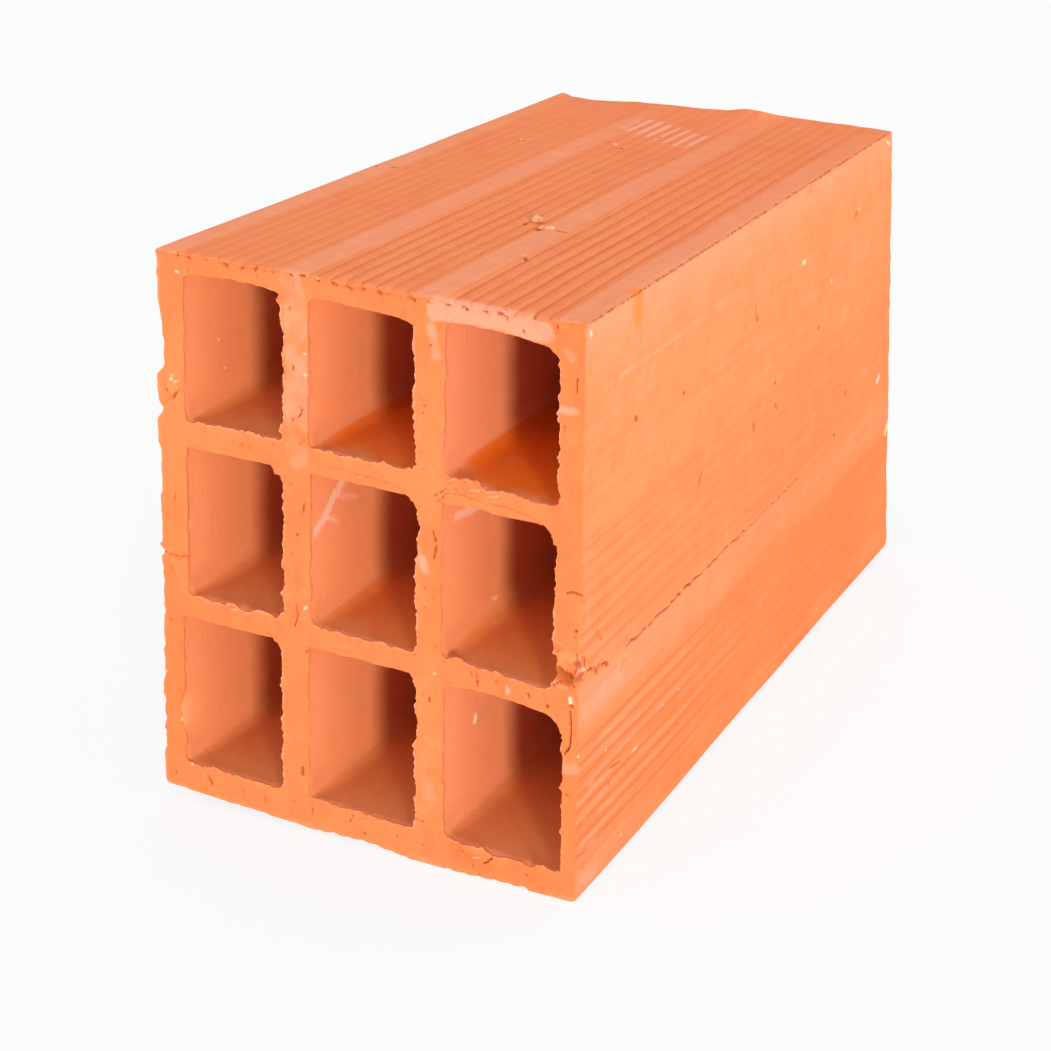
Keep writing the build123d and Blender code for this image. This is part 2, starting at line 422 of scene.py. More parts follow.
class StudioSetup(bpy.types.PropertyGroup):
    """Light and camera."""

    lamp_strength: number_setting("Lamp", "Strength of the low warm lamp", 2.75)
    lamp_colour: colour_setting("Lamp colour", "Warm light", (1.0, 0.86, 0.66))
    lamp_side: angle_setting("Lamp side", "Turn from the front end to the right", 39.4)
    lamp_rise: angle_setting("Lamp rise", "Height over the floor", 6)
    lamp_spread: angle_setting("Lamp spread", "Width of the lamp, seen from the block", 9)
    zenith_strength: number_setting("Zenith", "Strength of the light from straight above", 1.15)
    horizon_strength: number_setting("Horizon", "Strength of the light from all round", 0.45)
    sky_colour: colour_setting("Sky colour", "Slightly cool light", (0.93, 0.96, 1.0))
    camera_place: place_setting("Camera", "Place of the camera", (0.2369, -0.5310, 0.2711))
    camera_side: angle_setting("Camera side", "Turn from the front end to the right", 25.29)
    camera_rise: angle_setting("Camera rise", "Angle down to the block", 21.51)
    camera_roll: angle_setting("Camera roll", "Tilt of the picture", 0.44)
    camera_lens: number_setting("Lens", "Focal length in mm, on a 36 mm picture", 74.75)


def select_only(obj):
    bpy.ops.object.select_all(action="DESELECT")
    obj.select_set(True)
    bpy.context.view_layer.objects.active = obj


def edit(obj):
    """Opens the object in edit mode, alone, and gives its mesh for selecting."""
    if bpy.context.object and bpy.context.object.mode != "OBJECT":
        bpy.ops.object.mode_set(mode="OBJECT")
    select_only(obj)
    bpy.ops.object.mode_set(mode="EDIT")
    return bmesh.from_edit_mesh(obj.data)


def close_edit():
    bpy.ops.object.mode_set(mode="OBJECT")


def apply_modifiers(obj):
    select_only(obj)
    for modifier in list(obj.modifiers):
        bpy.ops.object.modifier_apply(modifier=modifier.name)


def read_points(obj):
    """The mesh's points in millimetres, one row each."""
    points = np.zeros(len(obj.data.vertices) * 3, np.float32)
    obj.data.vertices.foreach_get("co", points)
    return points.reshape(-1, 3).astype(float) / MM


def write_points(obj, points):
    obj.data.vertices.foreach_set("co", (points * MM).astype(np.float32).ravel())
    obj.data.update()


def store_on_points(obj, name, values):
    """Keeps one number a point, for the material to read."""
    layer = obj.data.attributes.new(name, "FLOAT", "POINT")
    layer.data.foreach_set("value", np.asarray(values, np.float32))


def smooth_step(x):
    x = np.clip(x, 0.0, 1.0)
    return x * x * (3 - 2 * x)


# Where every jagged line starts, and how long it is
RAGGED_START = -100
RAGGED_LENGTH = 400


def ragged(along, pitch, seed):
    """Seeded jagged line between 0 and 1, with one corner every pitch or so."""
    draw = np.random.default_rng(seed)
    count = int(RAGGED_LENGTH / pitch)
    knots = (np.arange(count) + draw.uniform(-0.3, 0.3, count)) * pitch + RAGGED_START
    heights = draw.uniform(0, 1, count)
    return np.interp(along, knots, heights)


def centred_steps(count, step):
    return [(i - (count - 1) / 2) * step for i in range(count)]


# Block: the plain section

CELLS_ACROSS = 3
CELLS_UP = 3
TOP_GROOVES = 7
SIDE_GROOVES = 8


def nominal_cells(shape):
    """Left, right, floor and ceiling of each cell in the die, by (row from the top, column), in mm."""
    wall, bed = shape.side_wall / MM, shape.bed_wall / MM
    web, level = shape.upright_web / MM, shape.level_web / MM
    cell_width = (WIDTH - 2 * wall - (CELLS_ACROSS - 1) * web) / CELLS_ACROSS
    cell_height = (HEIGHT - 2 * bed - (CELLS_UP - 1) * level) / CELLS_UP
    cells = {}
    for row in range(CELLS_UP):
        for column in range(CELLS_ACROSS):
            left = -HALF_WIDTH + wall + column * (cell_width + web)
            floor = bed + (CELLS_UP - 1 - row) * (cell_height + level)
            cells[row, column] = (left, left + cell_width, floor, floor + cell_height)
    return cells


def groove_places(shape):
    """Middles of the top's grooves across the block, and of the sides' grooves up it, with their bands."""
    cells = nominal_cells(shape)
    pitch = shape.groove_pitch / MM
    across = []
    upward = []
    for i in range(CELLS_ACROSS):
        left, right = cells[0, i][:2]
        across += [((left + right) / 2 + step, i) for step in centred_steps(TOP_GROOVES, pitch)]
        upward += [(HEIGHT - SIDE_BAND_MIDDLES[i] + step, i) for step in centred_steps(SIDE_GROOVES, pitch)]
    return across, upward


def section_lines(ends, cell_edges, grooves, shape):
    """Mesh lines across one way of the section: cell edges, grooves, and even steps between them."""
    width = shape.groove_width / MM
    closest = 0.3
    lines = list(ends) + list(cell_edges)
    for middle, _ in grooves:
        for place in (middle - width / 2, middle, middle + width / 2):
            if min(abs(place - line) for line in lines) > closest:
                lines.append(place)
    lines.sort()
    pitch = shape.line_pitch / MM
    spread = []
    for low, high in zip(lines, lines[1:]):
        steps = max(1, math.ceil((high - low) / pitch - 0.05))
        spread += [low + (high - low) * i / steps for i in range(steps)]
    return np.array(spread + [lines[-1]])


def inside_a_cell(x, z, cells):
    return any(left < x < right and floor < z < ceiling for left, right, floor, ceiling in cells.values())


def cut_end_grid(shape):
    """Flat front end: a grid, its lines moved onto the section's lines, with the cells' faces deleted."""
    cells = nominal_cells(shape)
    across, upward = groove_places(shape)
    x_edges = {edge for cell in cells.values() for edge in cell[:2]}
    z_edges = {edge for cell in cells.values() for edge in cell[2:]}
    x_lines = section_lines((-HALF_WIDTH, HALF_WIDTH), x_edges, across, shape)
    z_lines = section_lines((0, HEIGHT), z_edges, upward, shape)
    bpy.ops.mesh.primitive_grid_add(
        x_subdivisions=len(x_lines) - 1, y_subdivisions=len(z_lines) - 1, size=2
    )
    block = bpy.context.object
    points = read_points(block) * MM
    i = np.rint((points[:, 0] + 1) / 2 * (len(x_lines) - 1)).astype(int)
    j = np.rint((points[:, 1] + 1) / 2 * (len(z_lines) - 1)).astype(int)
    write_points(block, np.stack([x_lines[i], np.full(len(i), -HALF_LENGTH), z_lines[j]], 1))
    mesh = edit(block)
    bpy.ops.mesh.select_mode(type="FACE")
    bpy.ops.mesh.select_all(action="DESELECT")
    for face in mesh.faces:
        middle = face.calc_center_median() / MM
        face.select = inside_a_cell(middle.x, middle.z, cells)
    bmesh.update_edit_mesh(block.data)
    bpy.ops.mesh.delete(type="FACE")
    close_edit()
    return block


def extrude_rims(block, outer, depths):
    """Extrudes the outer rim, or else the cells' rims, along the block to each depth in turn."""
    edit(block)
    bpy.ops.mesh.select_mode(type="EDGE")
    bpy.ops.mesh.select_all(action="SELECT")
    bpy.ops.mesh.region_to_loop()
    mesh = bmesh.from_edit_mesh(block.data)
    near = 0.01
    for edge in mesh.edges:
        if edge.select:
            middle = (edge.verts[0].co + edge.verts[1].co) / 2 / MM
            at_rim = HALF_WIDTH - abs(middle.x) < near or min(middle.z, HEIGHT - middle.z) < near
            at_front = middle.y < -HALF_LENGTH + near
            edge.select = at_front and at_rim == outer
    mesh.select_flush_mode()
    bmesh.update_edit_mesh(block.data)
    reached = 0.0
    for depth in depths:
        bpy.ops.mesh.extrude_edges_move(
            TRANSFORM_OT_translate={"value": (0, (depth - reached) * MM, 0)}
        )
        reached = depth
    close_edit()


# Depths of the mesh's rings from the front end: close together near both ends
END_RINGS = [0.4, 0.9, 1.6, 2.6, 4.2, 7.0, 12.0]
BACK_RINGS = [LENGTH - 4.0, LENGTH - 1.4, LENGTH]
CELL_RINGS = END_RINGS + [26.0, 60.0, HALF_LENGTH, LENGTH - 40.0] + BACK_RINGS
OUTER_STEPS = 9
OUTER_RINGS = (
    END_RINGS + [12.0 + i * (LENGTH - 24.0) / OUTER_STEPS for i in range(1, OUTER_STEPS + 1)] + BACK_RINGS
)


def close_back_end(block):
    """Copies the front end's faces to the back, turns them round and welds them to the walls."""
    mesh = edit(block)
    bpy.ops.mesh.select_mode(type="FACE")
    bpy.ops.mesh.select_all(action="DESELECT")
    near = 0.01 * MM
    for face in mesh.faces:
        face.select = all(abs(corner.co.y + HALF_LENGTH * MM) < near for corner in face.verts)
    bmesh.update_edit_mesh(block.data)
    bpy.ops.mesh.duplicate_move(TRANSFORM_OT_translate={"value": (0, LENGTH * MM, 0)})
    bpy.ops.mesh.select_all(action="SELECT")
    bpy.ops.mesh.remove_doubles(threshold=near)
    bpy.ops.mesh.normals_make_consistent(inside=False)
    close_edit()


# Block: what drying, cutting and firing did to it

# How far from a cell's edge, and from an outer edge, the mesh moves with it
WEB_FADE = 2.7
RIM_FADE = 2.0
# How torn each side of a cell's edge is
TORN = {"right": 1.0, "left": 0.42, "floor": 0.85, "ceiling": 0.36}
# Teeth are built up from jagged lines: how tall each is, its pitch, how peaked it is, and its seed
TOOTH_LAYERS = ((0.42, 6.5, 2, 1), (0.60, 2.3, 2, 2), (0.30, 1.0, 1, 3), (0.30, 0.55, 1, 6))
TOOTH_SETBACK = 0.22


def corner_arc(from_side, from_level):
    """Turn of a point of a corner: 0 on its level side, 90 degrees on its upright one, both from 0 to 1."""
    on_side = from_side <= from_level
    eighth = math.radians(45)
    turn = np.where(on_side, 2 * eighth - eighth * (1 - from_level), eighth * (1 - from_side))
    return np.where(on_side, np.clip(turn, eighth, 2 * eighth), np.clip(turn, 0, eighth))


def shape_cells(points, shape):
    """Moves the cells' outlines to where they came out, rounds their corners and tears their edges.

    Gives the moved points, how torn each one is, and whether it is on a cell's wall.
    """
    moved = points.copy()
    burr = np.zeros(len(points))
    wall = np.zeros(len(points))
    from_end = HALF_LENGTH - np.abs(points[:, 1])
    for cell, (left, right, floor, ceiling) in nominal_cells(shape).items():
        x = np.clip(points[:, 0], left, right)
        z = np.clip(points[:, 2], floor, ceiling)
        off = np.hypot(points[:, 0] - x, points[:, 2] - z)
        near = off < WEB_FADE
        x, z, off = x[near], z[near], off[near]
        depth = from_end[near]
        at_front = points[near, 1] < 0
        hold = 1 - off / WEB_FADE
        half_x, half_z = (right - left) / 2, (ceiling - floor) / 2
        a, b = x - left - half_x, z - floor - half_z
        from_side, from_level = half_x - np.abs(a), half_z - np.abs(b)
        side_sign, level_sign = np.sign(a), np.sign(b)
        floor_corners = (LEFT_FLOOR_CORNER, RIGHT_FLOOR_CORNER)
        ceiling_corners = (LEFT_CEILING_CORNER, RIGHT_CEILING_CORNERS[cell])
        reaches = np.array((floor_corners, ceiling_corners))[(b > 0).astype(int), (a > 0).astype(int)]
        rounder = np.where(b < 0, 1 + INNER_ROUNDING * smooth_step(depth / 20), 1)
        level_reach, side_reach = reaches[:, 0] * rounder, reaches[:, 1] * rounder
        in_corner = (from_side < level_reach) & (from_level < side_reach)
        turn = corner_arc(from_side / level_reach, from_level / side_reach)
        round_x = np.where(in_corner, side_sign * (half_x - level_reach * (1 - np.sin(turn))) - a, 0)
        round_z = np.where(in_corner, level_sign * (half_z - side_reach * (1 - np.cos(turn))) - b, 0)
        # Where the cell really came out
        edges = CELL_EDGES[cell]
        part_x, part_z = (x - left) / (right - left), (z - floor) / (ceiling - floor)
        real_top = HEIGHT - edges[2] - (edges[3] - edges[2]) * part_x
        real_bottom = HEIGHT - edges[4] - (edges[5] - edges[4]) * part_x
        real_top += CEILING_ARCH * (1 - (2 * part_x - 1) ** 2)
        shift_x = (edges[0] - HALF_WIDTH - left) * (1 - part_x) + (edges[1] - HALF_WIDTH - right) * part_x
        shift_z = (real_bottom - floor) * (1 - part_z) + (real_top - ceiling) * part_z
        # Torn edge: teeth into the cell, tallest where the wire left the clay
        inward_x = -side_sign * np.where(in_corner, np.sin(turn), from_side <= from_level)
        inward_z = -level_sign * np.where(in_corner, np.cos(turn), from_side > from_level)
        faces_in = {"right": -inward_x, "left": inward_x, "floor": inward_z, "ceiling": -inward_z}
        built_x, built_z = x + shift_x + HALF_WIDTH, HEIGHT - z - shift_z
        torn = sum(TORN[side] * np.clip(share, 0, 1) ** 2 for side, share in faces_in.items())
        teeth = np.zeros(len(x))
        lift = np.zeros(len(x))
        for number, (side, share) in enumerate(faces_in.items()):
            line = built_z if side in ("left", "right") else built_x
            for end in (0, 1):
                here = (share > 0.7) & (at_front == (end == 0))
                seed = [*cell, number, end]
                spread = line[here]
                layers = [
                    tall * ragged(spread, pitch, seed + [layer]) ** peak
                    for tall, pitch, peak, layer in TOOTH_LAYERS
                ]
                teeth[here] = sum(layers) - TOOTH_SETBACK
                lift[here] = ragged(spread, 3.4, seed + [4]) ** 2 * ragged(spread, 1.3, seed + [5])
        reach = np.exp(-depth / 1.3) * np.exp(-off / 1.0)
        tooth = shape.burr_height / MM * torn * teeth * reach
        for where, side, place, half_wide, tall in TEETH:
            if where == cell:
                line = built_z if side in ("left", "right") else built_x
                bump = np.clip(1 - ((line - place) / half_wide) ** 2, 0, 1)
                bump *= at_front & (faces_in[side] > 0.7)
                tooth += tall * bump * np.exp(-depth / 2.0) * np.exp(-off / 1.5)
        moved[near, 0] += hold * (shift_x + round_x) + tooth * inward_x
        moved[near, 2] += hold * (shift_z + round_z) + tooth * inward_z
        curl = 0.6 * (torn + 0.15) * lift * np.exp(-depth / 0.6) * np.exp(-((off - 0.3) ** 2) / 0.8)
        moved[near, 1] += np.where(at_front, -curl, curl)
        # How torn the lip is here: the material paints a highlight on it by this amount
        lip_highlight = np.clip(torn, 0, 1) ** 2 * np.exp(-off / 0.45) * np.exp(-depth / 0.7)
        burr[near] = np.maximum(burr[near], lip_highlight)
        wall[near] = np.maximum(wall[near], np.exp(-off / 0.25) * smooth_step(depth / 0.5))
    return moved, burr, wall


def shape_outside(points, moved, shape):
    """Rounds the long edges, presses the grooves in and makes the ends' rims ragged.

    Gives the moved points, and how far each one is in a groove (painted with shade), on a ridge, in worn
    clay, on a ridge with a painted highlight (partly a pale film) and in a grooved band.
    """
    across, upward = groove_places(shape)
    x, y, z = points[:, 0], points[:, 1], points[:, 2]
    from_end = HALF_LENGTH - np.abs(y)
    from_side = HALF_WIDTH - np.abs(x)
    from_level = np.minimum(z, HEIGHT - z)
    rim = np.minimum(from_side, from_level)
    hold = np.clip(1 - rim / RIM_FADE, 0, 1)
    side_sign = np.sign(x)
    level_sign = np.where(z > HEIGHT / 2, 1.0, -1.0)
    radius = shape.outer_radius / MM
    corner = (from_side < radius) & (from_level < radius)
    ring = np.maximum(radius - rim, 1e-6)
    turn = corner_arc(np.maximum(from_side - rim, 0) / ring, np.maximum(from_level - rim, 0) / ring)
    moved[:, 0] += np.where(corner, side_sign * (HALF_WIDTH - radius + ring * np.sin(turn)) - x, 0)
    round_z = HEIGHT / 2 + level_sign * (HEIGHT / 2 - radius + ring * np.cos(turn))
    moved[:, 2] += np.where(corner, round_z - z, 0)
    # Grooves, shallower in some bands and along some stretches, between round ridges
    half_pitch = shape.groove_pitch / MM / 2
    on_level = from_level <= from_side
    along = y + HALF_LENGTH
    none = np.zeros(len(points))
    lines = {name: none.copy() for name in ("groove", "crest", "wear", "glint", "band")}
    grooved = none.copy()
    top_fading = np.interp(along, *zip(*TOP_GROOVES_FADE))
    side_fading = [np.interp(along, *zip(*fade)) for fade in SIDE_GROOVES_FADES]
    side_highlights = [np.interp(along, *zip(*fade)) for fade in SIDE_RIDGE_HIGHLIGHTS]
    for number, (middle, band) in enumerate(across + upward):
        is_top = number < len(across)
        place = x if is_top else z
        depth = TOP_BAND_DEPTHS[band] * top_fading if is_top else SIDE_BAND_DEPTHS[band] * side_fading[band]
        here = on_level == is_top
        worn = depth * (0.55 + 0.45 * ragged(along, 45, [7, number])) * here
        off = np.abs(place - middle) / half_pitch
        valley = np.clip(1 - off, 0, 1) ** 2.4 * here
        ridge = (off < 1.2) * here * (1 - valley) ** 3
        # How strong the painted highlight on this ridge is
        pale = 0.1 if is_top else side_highlights[band] * ragged(along, 15, [8, number])
        grooved += valley * worn
        lines["groove"] = np.maximum(lines["groove"], valley)
        lines["crest"] = np.maximum(lines["crest"], ridge)
        lines["wear"] = np.maximum(lines["wear"], worn * (off < 1.2))
        lines["glint"] = np.maximum(lines["glint"], pale * (off < 1.2) * here)
        tint = 1.0 if is_top else SIDE_BAND_TINTS[band]
        lines["band"] = np.maximum(lines["band"], tint * (off < 1.05) * here)
    crest = lines["crest"] * lines["wear"]
    press = shape.groove_depth / MM * grooved * np.clip(1 - rim / 1.3, 0, 1)
    moved[:, 2] -= np.where(on_level, level_sign * press, 0)
    moved[:, 0] -= np.where(~on_level, side_sign * press, 0)
    # Rims of the two ends
    front = y < 0
    down = HEIGHT - z
    over = x + HALF_WIDTH
    fade = np.exp(-from_end / 7.0)
    rough = np.exp(-from_end / 1.2)
    left_in = np.interp(down, *zip(*LEFT_RIM)) * fade * front
    left_in += (ragged(down, 1.7, [11, 1]) - 0.5) * 0.7 * rough
    right_in = (ragged(down, 2.6, [12, 1]) - 0.3) * 0.35 * rough
    moved[:, 0] += np.where((x < 0) & (from_side < 3), left_in * hold, 0)
    moved[:, 0] -= np.where((x > 0) & (from_side < 3), right_in * hold, 0)
    foot_out = np.interp(along, *zip(*RIGHT_FOOT)) * np.exp(-z / 7.0)
    moved[:, 0] += np.where((x > 0) & (from_side < 3), foot_out * hold, 0)
    bottom_in = np.interp(over, *zip(*BOTTOM_RIM)) * np.exp(-from_end / 20.0) * front
    bottom_in += (ragged(over, 3.1, [13, 1]) - 0.5) * 0.35 * rough
    top_in = (ragged(over, 1.9, [14, 1]) * 0.6 + ragged(over, 7.0, [14, 2]) * 0.5 - 0.4) * rough * front
    top_in += ragged(over, 9.0, [14, 3]) * 0.25 * rough * ~front
    moved[:, 2] += np.where((level_sign < 0) & (from_level < 3), bottom_in * hold, 0)
    moved[:, 2] -= np.where((level_sign > 0) & (from_level < 3), top_in * hold, 0)
    overhang = (0.35 + crest) * ragged(over, 2.7, [15, 1]) * (front & (level_sign > 0))
    overhang *= np.exp(-from_end / 0.6) * np.exp(-from_level / 0.4)
    moved[:, 1] -= 1.5 * overhang
    moved[:, 2] -= 0.8 * overhang
    back_rise = np.interp(over, *zip(*BACK_TOP_RIM)) * np.exp(-from_end / 6.0) * np.exp(-down / 3.0)
    moved[:, 2] += np.where(front, 0, back_rise)
    near_skin = np.clip(1 - rim / 0.8, 0, 1)
    return moved, {name: amount * near_skin for name, amount in lines.items()}


def settle(points, shape):
    """Where points of the plain block go when its cells, grooves and rims get their real shape."""
    moved, burr, wall = shape_cells(points, shape)
    moved, lines = shape_outside(points, moved, shape)
    return moved, {"burr": burr, "in_cell": wall, **lines}


# Block: marks


def as_built(face, first, second):
    """Place on the true block of a place read off a picture of one face, as if that face were flat."""
    wide, tall = FACE_SIZES[face]
    u, t = first / wide, second / tall
    terms = (1, u, t, u * t, u * (1 - u), t * (1 - t), u * (1 - u) * t)
    first, second = (
        place + sum(shift * term for shift, term in zip(shifts, terms))
        for place, shifts in zip((first, second), FACE_SHIFTS[face])
    )
    if face == "front":
        return (first - HALF_WIDTH, -HALF_LENGTH, HEIGHT - second)
    if face == "right":
        return (HALF_WIDTH, first - HALF_LENGTH, HEIGHT - second)
    return (first - HALF_WIDTH, HALF_LENGTH - second, HEIGHT)


def long_crack():
    """Jagged crack along the right face, in dashes that almost meet."""
    draw = np.random.default_rng(41)
    start, end, step = 27.0, 150.0, 2.4
    along = start
    runs = []
    while along < end:
        steps = draw.integers(3, 8)
        down = 90 - 0.012 * (along - start)
        path = [(along + step * i, down + draw.uniform(-0.45, 0.45)) for i in range(steps)]
        built = [as_built("right", *place) for place in path]
        runs.append((draw.uniform(0.28, 0.50), draw.uniform(0.4, 0.7), built))
        along += step * (steps - 1) + draw.uniform(0.3, 1.6)
    return runs


def rim_shadows():
    """Painted shadows under the front end's top edge, where the wire dragged the ridges' ends over: small
    hollows, pressed in and painted dark.
    """
    draw = np.random.default_rng(43)
    over = 5.0
    spots = []
    while over < WIDTH - 4:
        drop = draw.uniform(0.7, 1.4)
        path = ((over, drop), (over + draw.uniform(0.2, 1.5), drop + draw.uniform(-0.3, 0.5)))
        built = [as_built("front", *place) for place in path]
        spots.append((draw.uniform(0.45, 0.85), draw.uniform(0.5, 0.9), built))
        over += draw.uniform(2.2, 5.4)
    return spots


SCUFFED_RIDGES = 8
SCUFF_START = (39.8, 27.5)


def scuffed_ridges():
    """Ridge tops of the top's middle band that something scuffed pale, near the back."""
    first, near_back = SCUFF_START
    step = 3.95
    runs = []
    for i in range(SCUFFED_RIDGES):
        over = first + step * i
        near = near_back + 0.63 * step * max(0, i - 1.5)
        far = near_back + 16.5 + 0.6 * step * i
        places = [(over - HALF_WIDTH, HALF_LENGTH - back, HEIGHT) for back in (near, far)]
        runs.append((1.2, 1.0, places))
    return runs


INWARD = {"front": (0, 1, 0), "right": (-1, 0, 0), "top": (0, 0, -1)}
MARKS = {
    "crack": CRACKS,
    "pit": PITS,
    "lime": LIME_SPECKS,
    "lump": LUMPS,
    "slurry": SLURRY,
    "drip": DRIPS,
    "scuff": {},
}
FINE_MARKS = ("crack", "pit", "lime")
FILMS = ("slurry", "drip", "scuff")
WORKED_OUT = (("crack", "right", long_crack), ("pit", "front", rim_shadows), ("scuff", "top", scuffed_ridges))
Mark = namedtuple("Mark", "kind inward width depth path")


def all_marks():
    """Every mark, with its path on the true block."""
    found = []
    for kind, faces in MARKS.items():
        for face, group in faces.items():
            for width, depth, path in group:
                built = np.array([as_built(face, *place) for place in path])
                found.append(Mark(kind, np.array(INWARD[face]), width, depth, built))
    for kind, face, work_out in WORKED_OUT:
        for width, depth, path in work_out():
            found.append(Mark(kind, np.array(INWARD[face]), width, depth, np.array(path)))
    for kind, cell, width, depth, path in WALL_MARKS:
        wall = CELL_EDGES[cell][0] - HALF_WIDTH
        built = np.array([(wall, along - HALF_LENGTH, HEIGHT - down) for along, down in path])
        found.append(Mark(kind, np.array((-1, 0, 0)), width, depth, built))
    return found


def distance_to_path(points, path):
    """Distance of each point to a path of straight runs, or to a single place."""
    nearest = np.full(len(points), np.inf)
    runs = list(zip(path, path[1:])) or [(path[0], path[0])]
    for start, end in runs:
        run = end - start
        part = np.clip((points - start) @ run / max(run @ run, 1e-9), 0, 1)
        nearest = np.minimum(nearest, np.linalg.norm(points - start - part[:, None] * run, axis=1))
    return nearest


# Longest step along the block beside a mark, and how often a longer one is cut
LONG_STEP = 4.0
LONG_CUTS = 15


def near_box(points, path, reach):
    return ((points > path.min(0) - reach) & (points < path.max(0) + reach)).all(1)


def subdivide(block, mode, chosen, cuts):
    """Selects the chosen edges or faces, and those alone, and cuts each of them the given number of times."""
    edit(block)
    bpy.ops.mesh.select_mode(type=mode)
    bpy.ops.mesh.select_all(action="DESELECT")
    close_edit()
    group = block.data.edges if mode == "EDGE" else block.data.polygons
    group.foreach_set("select", chosen)
    edit(block)
    bpy.ops.mesh.subdivide(number_cuts=cuts)
    close_edit()


def face_middles(block):
    middles = np.zeros(len(block.data.polygons) * 3, np.float32)
    block.data.polygons.foreach_get("center", middles)
    return middles.reshape(-1, 3).astype(float) / MM


# How far round a cell's edge, and how deep in, the mesh is halved, and whether only where it is torn
LIPS_TO_CUT = ((1.05, 1.5, False), (0.5, 0.4, True))


def refine_lips(block, shape):
    """Halves the mesh's steps along the cells' front edges, and again where the clay is torn most."""
    for reach, depth, torn_sides_only in LIPS_TO_CUT:
        middles = face_middles(block)
        chosen = np.zeros(len(middles), bool)
        for left, right, floor, ceiling in nominal_cells(shape).values():
            x = np.clip(middles[:, 0], left, right)
            z = np.clip(middles[:, 2], floor, ceiling)
            off = np.hypot(middles[:, 0] - x, middles[:, 2] - z)
            near = (off < reach) & (middles[:, 1] < -HALF_LENGTH + depth)
            if torn_sides_only:
                near &= (x > right - reach) | (z < floor + reach)
            chosen |= near
        subdivide(block, "FACE", chosen, 1)


def refine_top_rim(block):
    """Thirds the mesh's steps along the front end's top edge, where the ridges hang over."""
    middles = face_middles(block)
    chosen = (middles[:, 1] < -HALF_LENGTH + 0.5) & (middles[:, 2] > HEIGHT - 1.2)
    subdivide(block, "FACE", chosen, 2)


def places_along(path, step):
    """Evenly spaced places on a path of straight runs."""
    if len(path) == 1:
        return path
    places = []
    for start, end in zip(path, path[1:]):
        count = max(2, int(np.linalg.norm(end - start) / step))
        places += [start + (end - start) * i / count for i in range(count + 1)]
    return places


def refine_long_steps(block, shape, marks):
    """Cuts the long mesh steps short beside marks on the long faces."""
    points = settle(read_points(block), shape)[0]
    ends = np.zeros(len(block.data.edges) * 2, np.int32)
    block.data.edges.foreach_get("vertices", ends)
    first, second = points[ends[::2]], points[ends[1::2]]
    long_ones = np.flatnonzero(np.abs(first[:, 1] - second[:, 1]) > LONG_STEP)
    first, second = first[long_ones], second[long_ones]
    low_y = np.minimum(first[:, 1], second[:, 1])
    high_y = np.maximum(first[:, 1], second[:, 1])
    near = np.zeros(len(long_ones), bool)
    for mark in marks:
        if mark.inward[1] == 0 and mark.kind != "lump":
            for place in places_along(mark.path, LONG_STEP / 2):
                beyond = np.maximum(np.maximum(low_y - place[1], place[1] - high_y), 0)
                off = np.sqrt((first[:, 0] - place[0]) ** 2 + (first[:, 2] - place[2]) ** 2 + beyond**2)
                near |= off < mark.width / 2 + 1.2
    chosen = np.zeros(len(block.data.edges), bool)
    chosen[long_ones[near]] = True
    subdivide(block, "EDGE", chosen, LONG_CUTS)


# Least and most area in square mm of the faces cut under small marks, and how often each is cut
FACES_TO_CUT = ((0.45, 3.5, 4), (0.07, 0.45, 1))


def refine_marks(block, shape, marks):
    """Cuts the mesh fine under cracks, pits and grains: coarse faces much finer, finer ones a little."""
    for least, most, cuts in FACES_TO_CUT:
        middles = settle(face_middles(block), shape)[0]
        areas = np.zeros(len(block.data.polygons), np.float32)
        block.data.polygons.foreach_get("area", areas)
        areas /= MM * MM
        fitting = (areas > least) & (areas < most)
        chosen = np.zeros(len(middles), bool)
        for mark in marks:
            if mark.kind in FINE_MARKS:
                near = np.flatnonzero(near_box(middles, mark.path, 3.0) & fitting)
                reach = mark.width / 2 + (0.5 if cuts > 1 else 0.15)
                chosen[near[distance_to_path(middles[near], mark.path) < reach]] = True
        subdivide(block, "FACE", chosen, cuts)


def press_marks(moved, marks):
    """Presses each mark into the points, or raises it, and gives how much of each kind a point has."""
    amounts = {kind: np.zeros(len(moved)) for kind in MARKS}
    draw = np.random.default_rng(5)
    # Drawn in the order of the points' places, because Blender doesn't always number them alike
    grain = np.zeros(len(moved))
    grain[np.lexsort(np.round(moved, 3).T)] = draw.uniform(-1, 1, len(moved))
    for mark in marks:
        near = np.flatnonzero(near_box(moved, mark.path, mark.width + 1))
        off = distance_to_path(moved[near], mark.path)
        if mark.kind in FINE_MARKS:
            off = np.maximum(off + 0.06 * grain[near], 0)
        hold = smooth_step(1.25 - off / (mark.width / 2) * 0.75)
        if mark.kind in FILMS:
            hold = mark.depth * smooth_step((mark.width / 2 + 0.8 - off) / 1.6)
        else:
            moved[near] += mark.inward * (mark.depth * hold)[:, None]
        amounts[mark.kind][near] = np.maximum(amounts[mark.kind][near], hold)
    amounts["crack"] = np.maximum(amounts["crack"], amounts.pop("pit"))
    amounts.pop("lump")
    return moved, amounts


# Middle of the break, over and down, how far it reaches each way, and how deep it goes
BREAK_MIDDLE = (111.6, 82.5)
BREAK_REACH = (4.4, 3.9)
BREAK_DEPTH = 1.5


